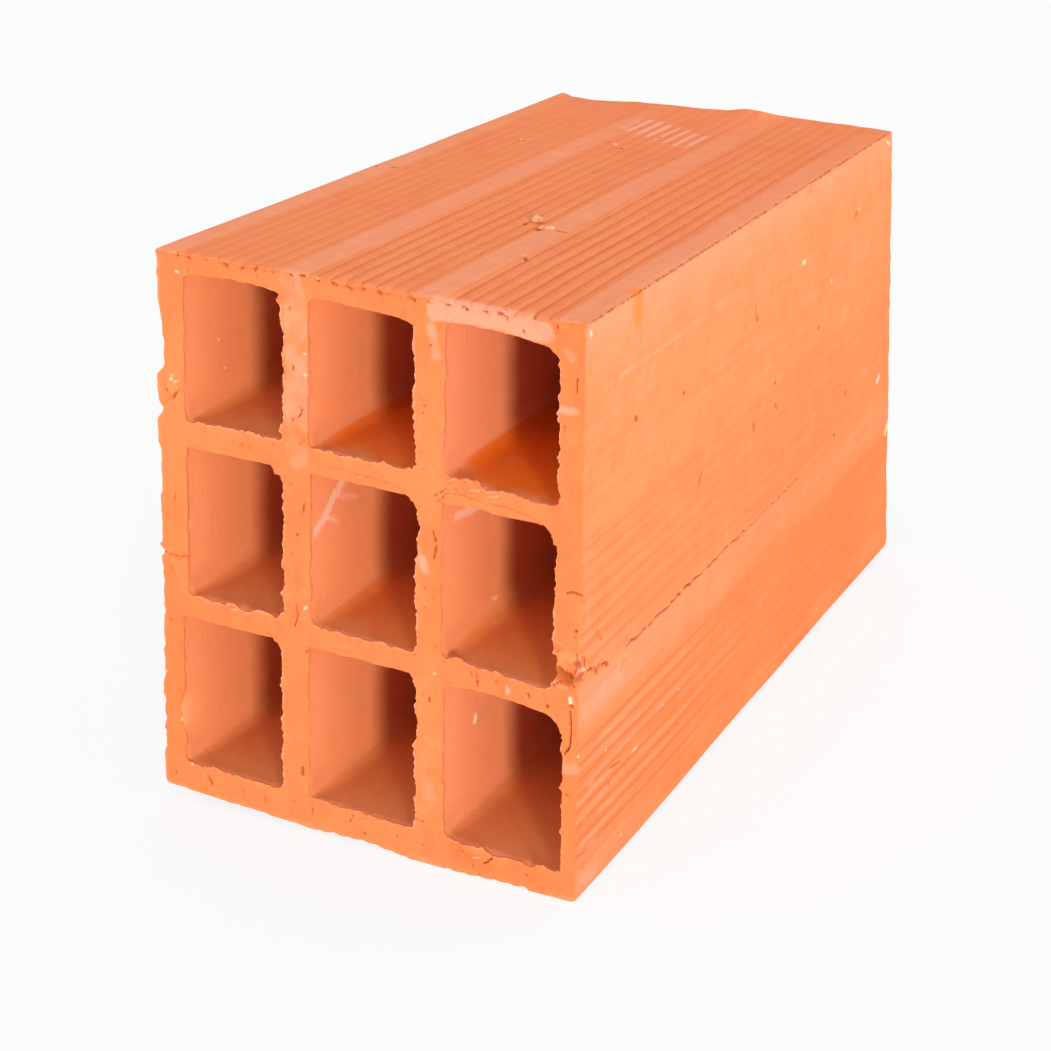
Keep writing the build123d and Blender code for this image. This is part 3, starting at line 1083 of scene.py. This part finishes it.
def break_out(moved):
    """Breaks a piece out of the right wall's front edge: a rough hollow with a raised rim."""
    middle = np.array(as_built("front", *BREAK_MIDDLE))
    a, b = moved[:, 0] - middle[0], moved[:, 2] - middle[2]
    depth = moved[:, 1] + HALF_LENGTH
    ring = np.sqrt((a / BREAK_REACH[0]) ** 2 + (b / BREAK_REACH[1]) ** 2)
    rough = ragged(moved[:, 2] + 0.6 * moved[:, 0], 1.4, [61, 1])
    rough += ragged(moved[:, 0] - moved[:, 2], 1.9, [61, 2])
    hollow = smooth_step((1.05 - ring) / 0.35) * (depth < 2.4) * (depth > -3)
    moved[:, 1] += hollow * (BREAK_DEPTH + 1.3 * rough) * np.exp(-np.maximum(depth, 0) / 1.5)
    near_rim = np.exp(-(((ring - 1.12) / 0.14) ** 2)) * (depth < 1.0) * (depth > -3)
    moved[:, 1] -= near_rim * 0.8 * ragged(np.degrees(np.arctan2(b, a)) / 10, 1.2, [61, 3])
    return moved, hollow * (depth < 1.5)


# How pale and how pinkish the top is, and how pinkish the cells' left walls are
TOP_DUST = ((0, 0.45), (100, 0.38), (240, 0.20))
TOP_BLOOM = ((0, 0.30), (60, 0.28), (140, 0.26), (240, 0.0))
WALL_BLOOM = {(0, 2): 0.45, (2, 2): 0.35}
OTHER_WALL_BLOOM = 0.22
# Pinkish bloom on the right face's smooth strips: the strip down the face, how softly it ends, and how
# strong it is at places along
BLOOM_STRIPS = (
    (-1, 1.5, 10.0, ((0, 0.50), (60, 0.45), (150, 0.38), (240, 0.30))),
    (87, 95, 3.0, ((0, 0.35), (30, 0.35), (60, 0.22), (120, 0.14), (240, 0.10))),
    (134, 141, 2.0, ((0, 0.30), (24, 0.15), (60, 0.0), (240, 0.0))),
)


# Depths between which the cells' walls get painted shade, strongest in the middle, and how far up the walls
# the painted shade over the floors' duller skin reaches
CELL_SHADE_FROM = 4
CELL_SHADE_TO = 46
FOOT_SHADE_HEIGHT = 9


def settle_dust_light_and_shade(points, shape):
    """Gives how pale each point is (dust, and painted light on the sides), how dark (the floors' duller skin,
    and painted shade deep in the cells and at the feet of their walls) and how pinkish.
    """
    along = points[:, 1] + HALF_LENGTH
    down = HEIGHT - points[:, 2]
    inward = np.minimum(along, LENGTH - along)
    dust_and_light, dull_and_shade, bloom = np.zeros((3, len(points)))
    on_top = (down < 0.01) | (points[:, 2] < 0.01)
    on_side = (np.abs(points[:, 0]) > HALF_WIDTH - 0.01) & ~on_top
    dust_and_light[on_top] = np.interp(along, *zip(*TOP_DUST))[on_top]
    # On the sides, painted light: paler toward the top and toward the front end
    dust_and_light[on_side] = np.clip(0.90 - 0.0060 * down - 0.0011 * along, 0, 1)[on_side]
    bloom[on_top] = np.interp(along, *zip(*TOP_BLOOM))[on_top]
    for start, end, softness, strength in BLOOM_STRIPS:
        beyond = np.maximum(np.maximum(start - down, down - end), 0)
        bloom += on_side * np.clip(1 - beyond / softness, 0, 1) * np.interp(along, *zip(*strength))
    for (row, column), (left, right, floor, ceiling) in nominal_cells(shape).items():
        near_wall = (points[:, 0] > left - 0.1) & (points[:, 0] < right + 0.1)
        near_wall &= (points[:, 2] > floor - 0.1) & (points[:, 2] < ceiling + 0.1) & (inward > 0.3)
        dust_and_light[near_wall] = (0.90 + 0.1 * np.exp(-inward / 25))[near_wall]
        # Painted shade on the cells' walls, strongest some way in
        depth_shade = smooth_step((inward - CELL_SHADE_FROM) / 20) * smooth_step((CELL_SHADE_TO - inward) / 18)
        dull_and_shade[near_wall] = (0.05 + 0.66 * depth_shade)[near_wall]
        bloom[near_wall & (points[:, 0] < left + 0.1)] = WALL_BLOOM.get((row, column), OTHER_WALL_BLOOM)
        # Painted shade at the feet of the walls, over the floors' own duller skin
        above_floor = points[:, 2] - floor
        low = (1 - smooth_step(above_floor / FOOT_SHADE_HEIGHT)) * (inward > 2)
        dull_and_shade[near_wall] = np.maximum(dull_and_shade, low)[near_wall]
    return dust_and_light, dull_and_shade, bloom


# How strongly each cell's floor is stained
STAINED_FLOORS = {(0, 1): 0.75, (0, 2): 0.9, (1, 1): 0.35, (1, 2): 0.25}


def stain_floors(points, shape):
    """Gives how far each point is on a cell floor that something wet has stained."""
    cells = nominal_cells(shape)
    stain = np.zeros(len(points))
    along = points[:, 1] + HALF_LENGTH
    for cell, amount in STAINED_FLOORS.items():
        left, right, floor, _ = cells[cell]
        across = (points[:, 0] - left) / (right - left)
        on_floor = (np.abs(points[:, 2] - floor) < 0.01) & (across >= 0) & (across <= 1)
        edge = 7 * (1 - across) ** 2 + 5 * ragged(points[:, 0], 5.0, [71, *cell]) - 2.5
        stain += on_floor * amount * smooth_step((along - edge) / 5)
    return stain


def keep_places(obj, points):
    """Stores the places that the material's patterns are laid out by."""
    places = obj.data.attributes.new("place", "FLOAT_VECTOR", "POINT")
    places.data.foreach_set("vector", (points * MM).astype(np.float32).ravel())


def keep_for_material(block, points, moved, amounts):
    """Stores on each point what the material needs to know of it."""
    from_end = HALF_LENGTH - np.abs(points[:, 1])
    store_on_points(block, "cut_end", np.exp(-from_end / 0.35))
    for name, amount in amounts.items():
        store_on_points(block, name, amount)
    keep_places(block, moved)


def push_out(block, name, size, strength, group=""):
    """Displaces the skin along its normals by a cloudy pattern."""
    pattern = bpy.data.textures.new(name, "CLOUDS")
    pattern.noise_scale = size * MM
    pattern.noise_depth = 1
    push = block.modifiers.new(name, "DISPLACE")
    push.texture = pattern
    push.texture_coords = "LOCAL"
    push.direction = "NORMAL"
    push.mid_level = 0.5
    push.strength = strength * MM
    push.vertex_group = group


def add_unevenness(block, points):
    """Broad waves over the whole skin, and dimples on the cut ends only."""
    ends = block.vertex_groups.new(name="cut_ends")
    on_end = np.flatnonzero(HALF_LENGTH - np.abs(points[:, 1]) < 0.5)
    ends.add(on_end.tolist(), 1.0, "REPLACE")
    push_out(block, "waves", size=70, strength=1.2)
    push_out(block, "dimples", size=6, strength=0.34, group="cut_ends")
    apply_modifiers(block)
    block.vertex_groups.clear()


def warp_block(block):
    """Draws the block out of square with a lattice, as drying and firing left it."""
    bpy.ops.object.select_all(action="DESELECT")
    bpy.ops.object.add(type="LATTICE", location=((LOW + HIGH) / 2))
    cage = bpy.context.object
    cage.scale = HIGH - LOW
    cage.data.points_u = cage.data.points_v = cage.data.points_w = 2
    for way in ("u", "v", "w"):
        setattr(cage.data, f"interpolation_type_{way}", "KEY_LINEAR")
    for point in cage.data.points:
        at = tuple(int(c > 0) for c in point.co)
        move = Vector(WARP[at]) * MM
        point.co_deform = point.co + Vector(m / s for m, s in zip(move, cage.scale))
    bpy.context.view_layer.update()
    warp = block.modifiers.new("warp", "LATTICE")
    warp.object = cage
    apply_modifiers(block)
    bpy.data.objects.remove(cage)


def warped(place):
    """Where the lattice takes a place on the true block."""
    low = np.array((-HALF_WIDTH, -HALF_LENGTH, 0.0))
    share = (np.array(place) - low) / (WIDTH, LENGTH, HEIGHT)
    moved = np.array(place, float)
    for corner, move in WARP.items():
        moved += math.prod(s if c else 1 - s for s, c in zip(share, corner)) * np.array(move)
    return moved


def on_skin(block, place, inward):
    """Nearest place of the finished block's skin to a place on the true block, looking inward."""
    outside = 15.0
    start = Vector((warped(place) - outside * np.array(inward)) * MM)
    hit, spot, _, _ = block.ray_cast(start, Vector(inward))
    return spot if hit else Vector(warped(place) * MM)


def add_crumb(spot, size, turn, number):
    """Rough crumb of the given size in mm, its middle on the spot."""
    bpy.ops.object.select_all(action="DESELECT")
    bpy.ops.mesh.primitive_ico_sphere_add(subdivisions=3, radius=MM / 2)
    crumb = bpy.context.object
    edit(crumb)
    bpy.ops.mesh.select_all(action="SELECT")
    bpy.ops.transform.resize(value=size)
    for axis, angle in turn.items():
        bpy.ops.transform.rotate(value=math.radians(angle), orient_axis=axis, center_override=(0, 0, 0))
    bpy.ops.transform.translate(value=spot)
    close_edit()
    push_out(crumb, f"crumb_{number}", 0.4 * min(size) + 0.3, 0.35 * min(size))
    apply_modifiers(crumb)
    return crumb


def join_crumbs(crumbs, name):
    bpy.ops.object.select_all(action="DESELECT")
    for crumb in crumbs:
        crumb.select_set(True)
    bpy.context.view_layer.objects.active = crumbs[0]
    bpy.ops.object.join()
    joined = bpy.context.object
    joined.name = joined.data.name = name
    keep_places(joined, read_points(joined))
    return joined


def stand_on_floor(block):
    points = read_points(block)
    points[:, 2] = np.maximum(points[:, 2], 0)
    write_points(block, points)


# Materials


class Number:
    """A node's output, with Python's own operators for numbers."""

    def __init__(self, nodes, socket):
        self.nodes = nodes
        self.socket = socket

    def maths(self, operation, other, flipped=False):
        inputs = {0: other, 1: self} if flipped else {0: self, 1: other}
        return self.nodes.add("ShaderNodeMath", inputs, settings={"operation": operation})

    def __add__(self, other):
        return self.maths("ADD", other)

    __radd__ = __add__

    def __mul__(self, other):
        return self.maths("MULTIPLY", other)

    __rmul__ = __mul__

    def __sub__(self, other):
        return self.maths("SUBTRACT", other)

    def __rsub__(self, other):
        return self.maths("SUBTRACT", other, flipped=True)

    def __truediv__(self, other):
        return self.maths("DIVIDE", other)

    def above(self, edge, softness):
        """0 below the edge, 1 above it, over a stretch of the given softness."""
        return ((self - (edge - softness / 2)) / softness).clamp()

    def below(self, edge, softness):
        return 1 - self.above(edge, softness)

    def clamp(self):
        return self.nodes.add("ShaderNodeClamp", {"Value": self})

    def larger(self, other):
        return self.maths("MAXIMUM", other)


class PlainNodes:
    """Nodes of one material or world."""

    def __init__(self, owner):
        owner.use_nodes = True
        self.tree = owner.node_tree
        self.tree.nodes.clear()

    def add(self, kind, inputs=None, settings=None, output=0):
        """Adds a node: first its settings, then values or links for its sockets. Gives one output."""
        node = self.tree.nodes.new(kind)
        for key, value in (settings or {}).items():
            setattr(node, key, value)
        for key, value in (inputs or {}).items():
            if isinstance(value, Number):
                self.tree.links.new(value.socket, node.inputs[key])
            else:
                node.inputs[key].default_value = value
        return Number(self, node.outputs[output]) if node.outputs else None


class ClayNodes(PlainNodes):
    """Nodes of one clay material, and the patterns that clay surfaces are made of."""

    def __init__(self, name):
        self.material = bpy.data.materials.new(name)
        super().__init__(self.material)
        self.place = self.add("ShaderNodeAttribute", settings={"attribute_name": "place"}, output="Vector")

    def stored(self, name):
        return self.add("ShaderNodeAttribute", settings={"attribute_name": name}, output="Fac")

    def noise(self, size, detail, rough=0.5, stretch=(1, 1, 1), shift=0.0):
        """Cloudy number from 0 to 1, with features of the size in mm, longer where stretched."""
        scale = tuple(1 / (size * MM * s) for s in stretch)
        moved = self.add(
            "ShaderNodeMapping", {"Vector": self.place, "Scale": scale, "Location": (shift, shift, shift)}
        )
        values = {"Vector": moved, "Scale": 1.0, "Detail": detail, "Roughness": rough}
        return self.add("ShaderNodeTexNoise", values)

    def grains(self, size, shift):
        """Distance to the nearest grain, in grain steps, and that grain's own number."""
        moved = self.add(
            "ShaderNodeMapping",
            {"Vector": self.place, "Scale": (1 / (size * MM),) * 3, "Location": (shift, shift, shift)},
        )
        near = self.add("ShaderNodeTexVoronoi", {"Vector": moved, "Scale": 1.0}, output="Distance")
        own = self.add("ShaderNodeSeparateColor", {0: Number(self, near.socket.node.outputs["Color"])})
        return near, own

    def mix(self, factor, first, second):
        """Colour between two colours."""
        values = {0: factor}
        for key, colour in ((6, first), (7, second)):
            values[key] = colour if isinstance(colour, Number) else (*colour, 1.0)
        return self.add("ShaderNodeMix", values, settings={"data_type": "RGBA"}, output=2)

    def surface(self, colour, roughness, height):
        """Closes the material with a matt clay surface, bumped by a height in mm."""
        bump = self.add("ShaderNodeBump", {"Height": height, "Strength": 1.0, "Distance": MM})
        values = {"Base Color": colour, "Roughness": roughness, "Normal": bump}
        clay = self.add("ShaderNodeBsdfPrincipled", values)
        clay.socket.node.inputs["Specular IOR Level"].default_value = 0.25
        self.add("ShaderNodeOutputMaterial", {"Surface": clay})
        return self.material


def fired_clay(finish):
    """Fired body: mottled orange, drawn lines on the long faces, torn cut ends, and what lies on them, with
    painted light and shade: paler sides, shade in cells and grooves, highlights on ridges and torn lips.
    """
    nodes = ClayNodes("fired_clay")
    cut, inside = nodes.stored("cut_end"), nodes.stored("in_cell")
    outside = (1 - cut - inside).clamp()
    broad = nodes.noise(34, 0.0)
    middling = nodes.noise(7, 1.0, 0.6, shift=3.1)
    fine = nodes.noise(1.3, 1.0, 0.65, shift=7.7)
    drag = nodes.noise(1.2, 0.0, stretch=(1, 34, 1), shift=1.3)
    # Pale clay by dust on the top and in the cells, and by painted light toward the sides' top front
    colour = nodes.mix(nodes.stored("dust_and_light"), finish.clay, finish.pale_clay)
    colour = nodes.mix(broad.above(0.52, 0.5) * 0.28, colour, finish.pale_clay)
    # Duller floors, and painted shade deep in the cells and at the feet of their walls
    colour = nodes.mix(nodes.stored("dull_and_shade") * 0.85, colour, finish.dull_clay_and_shade)
    mottle = middling.below(0.45, 0.3) * 0.22 + fine.below(0.42, 0.3) * 0.16
    colour = nodes.mix(mottle * (1 - inside * 0.8), colour, finish.red_clay)
    # Long faces: drawn lines, oranger grooved bands, pinkish smooth strips, painted ridge highlights, painted
    # shade in grooves
    colour = nodes.mix(outside * drag.above(0.58, 0.25) * 0.25, colour, finish.pale_clay)
    band = nodes.stored("band")
    colour = nodes.mix(band * 0.4, colour, finish.band_clay)
    colour = nodes.mix((1 - band) * nodes.stored("bloom"), colour, finish.slurry)
    # Painted highlight on the ridges, partly a pale film
    ridge_glint = nodes.stored("crest").above(0.5, 0.5) * nodes.stored("glint")
    colour = nodes.mix(ridge_glint * drag.above(0.42, 0.3), colour, finish.slurry)
    # Painted shade in the grooves, as thin dark lines
    groove = nodes.stored("groove").above(0.76, 0.36) * nodes.stored("wear")
    colour = nodes.mix((groove * (0.55 + drag)).clamp(), colour, finish.red_clay)
    # Torn edges with a painted highlight on their lips, stains and films
    # Painted highlight on the torn lips
    torn = nodes.stored("burr").above(0.60, 0.35) * fine.above(0.45, 0.2)
    colour = nodes.mix(torn * 0.5, colour, finish.lip_highlight)
    colour = nodes.mix(nodes.stored("hollow") * 0.7, colour, finish.pale_clay)
    colour = nodes.mix(nodes.stored("stain") * middling.above(0.25, 0.3), colour, finish.stain)
    slurry = nodes.stored("slurry")
    colour = nodes.mix((slurry + (middling - 0.5) * 1.2).above(0.55, 0.7) * 0.85, colour, finish.slurry)
    colour = nodes.mix(slurry.above(1.2, 0.4) * 0.6, colour, finish.lime)
    colour = nodes.mix(nodes.stored("drip") * 0.8, colour, finish.drip)
    colour = nodes.mix(nodes.stored("scuff") * drag.above(0.40, 0.25), colour, finish.scuff)
    # Pits, grains of lime and cracks
    near, own = nodes.grains(2.6, 5.5)
    pits = near.below(0.15, 0.10) * own.above(0.86, 0.08) * cut
    colour = nodes.mix(pits * 0.55, colour, finish.pit)
    colour = nodes.mix(nodes.stored("lime"), colour, finish.lime)
    colour = nodes.mix(nodes.stored("crack") * 0.9, colour, finish.pit)
    # Long top edge on the right: a thin, broken dark line painted along it
    apart = nodes.add("ShaderNodeSeparateXYZ", {0: nodes.place}, output="X")
    rise = Number(nodes, apart.socket.node.outputs["Z"])
    from_edge = ((HALF_WIDTH * MM - apart) + (HEIGHT * MM - rise)) * (1 / MM)
    on_edge = (from_edge + (fine - 0.5) * 0.9).below(0.55, 0.2) * outside
    broken = 0.35 + 0.65 * middling.above(0.42, 0.15)
    colour = nodes.mix(on_edge * broken * 0.75, colour, finish.pit)
    roughness = 0.88 - inside * 0.08 - nodes.stored("stain") * 0.2
    height = fine * (0.10 + 0.14 * cut) + drag * 0.12 * outside
    return nodes.surface(colour, roughness, height)


def crumb_clay(name, first, second):
    """Rough crumb, mottled between two colours."""
    nodes = ClayNodes(name)
    mottle = nodes.noise(1.1, 1.0, 0.6)
    colour = nodes.mix(mottle.above(0.5, 0.25), first, second)
    return nodes.surface(colour, 0.9, mottle * 0.4)


# Operators: one for each piece or group of pieces, and one for the studio


# Edges that turn by less than this look round
SHARP_ANGLE = math.radians(42)


class MESH_OT_fired_block(bpy.types.Operator):
    """Model the wire-cut block: cut end, cells, grooves, torn edges and warp"""

    bl_idname = "mesh.fired_block"
    bl_label = "Fired block"

    def execute(self, context):
        shape = context.scene.clay_block_shape
        block = cut_end_grid(shape)
        block.name = block.data.name = "fired_block"
        extrude_rims(block, False, CELL_RINGS)
        extrude_rims(block, True, OUTER_RINGS)
        close_back_end(block)
        marks = all_marks()
        refine_lips(block, shape)
        refine_top_rim(block)
        refine_long_steps(block, shape, marks)
        refine_marks(block, shape, marks)
        points = read_points(block)
        moved, amounts = settle(points, shape)
        moved, hollow = break_out(moved)
        moved, marked = press_marks(moved, marks)
        amounts.update(marked)
        amounts["hollow"] = hollow
        amounts["stain"] = stain_floors(points, shape)
        amounts["dust_and_light"], amounts["dull_and_shade"], amounts["bloom"] = settle_dust_light_and_shade(points, shape)
        write_points(block, moved)
        keep_for_material(block, points, moved, amounts)
        add_unevenness(block, points)
        warp_block(block)
        stand_on_floor(block)
        select_only(block)
        bpy.ops.object.shade_smooth_by_angle(angle=SHARP_ANGLE)
        block.data.materials.append(fired_clay(context.scene.clay_block_finish))
        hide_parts("clay_block")
        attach(block, "root")
        return {"FINISHED"}


class MESH_OT_stone_chips(bpy.types.Operator):
    """Lay the crumbs of stone on the block's top"""

    bl_idname = "mesh.stone_chips"
    bl_label = "Stone chips"

    def execute(self, context):
        finish = context.scene.clay_block_finish
        block = bpy.data.objects["fired_block"]
        crumbs = []
        for number, (over, back, length, width, tall, turn) in enumerate(STONE_CHIPS):
            spot = on_skin(block, (over - HALF_WIDTH, HALF_LENGTH - back, HEIGHT), (0, 0, -1))
            spot.z += 0.25 * tall * MM
            crumbs.append(add_crumb(spot, (length, width, tall), {"Z": turn}, number))
        chips = join_crumbs(crumbs, "stone_chips")
        chips.data.materials.append(crumb_clay("chip_stone", finish.stone, finish.dull_clay_and_shade))
        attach(chips, "root")
        return {"FINISHED"}


class MESH_OT_clay_flakes(bpy.types.Operator):
    """Set the flakes that hang on at the break and under the cells' edges"""

    bl_idname = "mesh.clay_flakes"
    bl_label = "Clay flakes"

    def execute(self, context):
        finish = context.scene.clay_block_finish
        block = bpy.data.objects["fired_block"]
        crumbs = []
        for number, (over, down, width, tall, thick, turn) in enumerate(CLAY_FLAKES):
            spot = on_skin(block, as_built("front", over, down), (0, 1, 0))
            crumbs.append(add_crumb(spot, (width, thick, tall), {"Y": turn}, 10 + number))
        flakes = join_crumbs(crumbs, "clay_flakes")
        flakes.data.materials.append(crumb_clay("flake_clay", finish.pale_clay, finish.slurry))
        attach(flakes, "root")
        return {"FINISHED"}


class SCENE_OT_clay_studio(bpy.types.Operator):
    """Set up the pale floor, the soft lights and the camera"""

    bl_idname = "scene.clay_studio"
    bl_label = "Studio"

    def execute(self, context):
        studio = context.scene.clay_block_studio
        add_floor()
        light_the_room(context.scene, studio)
        add_lamp(studio)
        place_camera(context.scene, studio)
        return {"FINISHED"}


FLOOR_GREY = (0.86, 0.86, 0.86, 1)
FLOOR_GLOW = 0.85
FLOOR_SIZE = 16


def pale_floor_material():
    """White floor that keeps the block's shadow, and shows nearly white to the camera."""
    material = bpy.data.materials.new("pale_floor")
    nodes = PlainNodes(material)
    matt = nodes.add("ShaderNodeBsdfDiffuse", {"Color": FLOOR_GREY})
    glow = nodes.add("ShaderNodeEmission")
    seen = nodes.add("ShaderNodeLightPath", output="Is Camera Ray")
    blend = nodes.add("ShaderNodeMixShader", {0: seen * FLOOR_GLOW, 1: matt, 2: glow})
    nodes.add("ShaderNodeOutputMaterial", {"Surface": blend})
    return material


def add_floor():
    bpy.ops.object.select_all(action="DESELECT")
    bpy.ops.mesh.primitive_plane_add(size=FLOOR_SIZE)
    floor = bpy.context.object
    floor.name = floor.data.name = "pale_floor"
    floor.data.materials.append(pale_floor_material())


def light_the_room(scene, studio):
    """Soft light from all round, which the camera and reflections see as white."""
    scene.world = bpy.data.worlds.new("studio_light")
    nodes = PlainNodes(scene.world)
    direction = nodes.add("ShaderNodeTexCoord", output="Generated")
    upward = nodes.add("ShaderNodeSeparateXYZ", {0: direction}, output="Z")
    strengths = {"To Min": studio.horizon_strength, "To Max": studio.zenith_strength}
    strength = nodes.add("ShaderNodeMapRange", {"Value": upward, **strengths})
    light = nodes.add("ShaderNodeBackground", {"Color": (*studio.sky_colour, 1), "Strength": strength})
    backdrop = nodes.add("ShaderNodeBackground", {"Color": (1, 1, 1, 1), "Strength": 1.0})
    rays = ("Is Camera Ray", "Is Glossy Ray", "Is Transmission Ray")
    camera, glossy, through = (nodes.add("ShaderNodeLightPath", output=ray) for ray in rays)
    seen = camera.larger(glossy).larger(through)
    blend = nodes.add("ShaderNodeMixShader", {0: seen, 1: light, 2: backdrop})
    nodes.add("ShaderNodeOutputWorld", {"Surface": blend})


def add_lamp(studio):
    """One low, warm, wide lamp that reaches a little way into the cells."""
    side, rise = studio.lamp_side, studio.lamp_rise
    towards = Vector((math.sin(side) * math.cos(rise), -math.cos(side) * math.cos(rise), math.sin(rise)))
    bpy.ops.object.light_add(type="SUN", rotation=towards.to_track_quat("Z", "Y").to_euler())
    lamp = bpy.context.object
    lamp.name = "low_lamp"
    lamp.data.energy = studio.lamp_strength
    lamp.data.color = studio.lamp_colour
    lamp.data.angle = studio.lamp_spread


PICTURE_WIDTH = 36


def place_camera(scene, studio):
    """Camera at the photograph's viewing angle, with no shift and everything in focus."""
    side, rise, roll = studio.camera_side, studio.camera_rise, studio.camera_roll
    back = Vector((math.sin(side) * math.cos(rise), -math.cos(side) * math.cos(rise), math.sin(rise)))
    level = Vector((math.cos(side), math.sin(side), 0))
    up = back.cross(level)
    right = level * math.cos(roll) + up * math.sin(roll)
    upward = up * math.cos(roll) - level * math.sin(roll)
    turn = Matrix((right, upward, back)).transposed()
    bpy.ops.object.camera_add(location=studio.camera_place, rotation=turn.to_euler())
    camera = bpy.context.object
    camera.data.sensor_width = PICTURE_WIDTH
    camera.data.lens = studio.camera_lens
    camera.data.clip_start = 0.01
    camera.data.dof.use_dof = False
    scene.camera = camera
    scene.view_settings.view_transform = "Standard"


class VIEW3D_PT_clay_block(bpy.types.Panel):
    """Sidebar panel with the block's sizes and operators"""

    bl_label = "Clay block"
    bl_space_type = "VIEW_3D"
    bl_region_type = "UI"
    bl_category = "Clay block"

    def draw(self, context):
        for group in SETTINGS:
            settings = getattr(context.scene, group)
            for name in settings.bl_rna.properties.keys():
                if name not in ("rna_type", "name"):
                    self.layout.prop(settings, name)
        for operator in OPERATORS:
            self.layout.operator(operator.bl_idname)


SETTINGS = {"clay_block_shape": BlockShape, "clay_block_finish": ClayFinish, "clay_block_studio": StudioSetup}
OPERATORS = (MESH_OT_fired_block, MESH_OT_stone_chips, MESH_OT_clay_flakes, SCENE_OT_clay_studio)


def register():
    for group, kind in SETTINGS.items():
        bpy.utils.register_class(kind)
        setattr(bpy.types.Scene, group, bpy.props.PointerProperty(type=kind))
    for operator in OPERATORS:
        bpy.utils.register_class(operator)
    bpy.utils.register_class(VIEW3D_PT_clay_block)


def unregister():
    bpy.utils.unregister_class(VIEW3D_PT_clay_block)
    for operator in reversed(OPERATORS):
        bpy.utils.unregister_class(operator)
    for group, kind in reversed(SETTINGS.items()):
        delattr(bpy.types.Scene, group)
        bpy.utils.unregister_class(kind)


def main():
    register()
    bpy.ops.mesh.fired_block()
    bpy.ops.mesh.stone_chips()
    bpy.ops.mesh.clay_flakes()
    bpy.ops.scene.clay_studio()


if __name__ == "__main__":
    main()
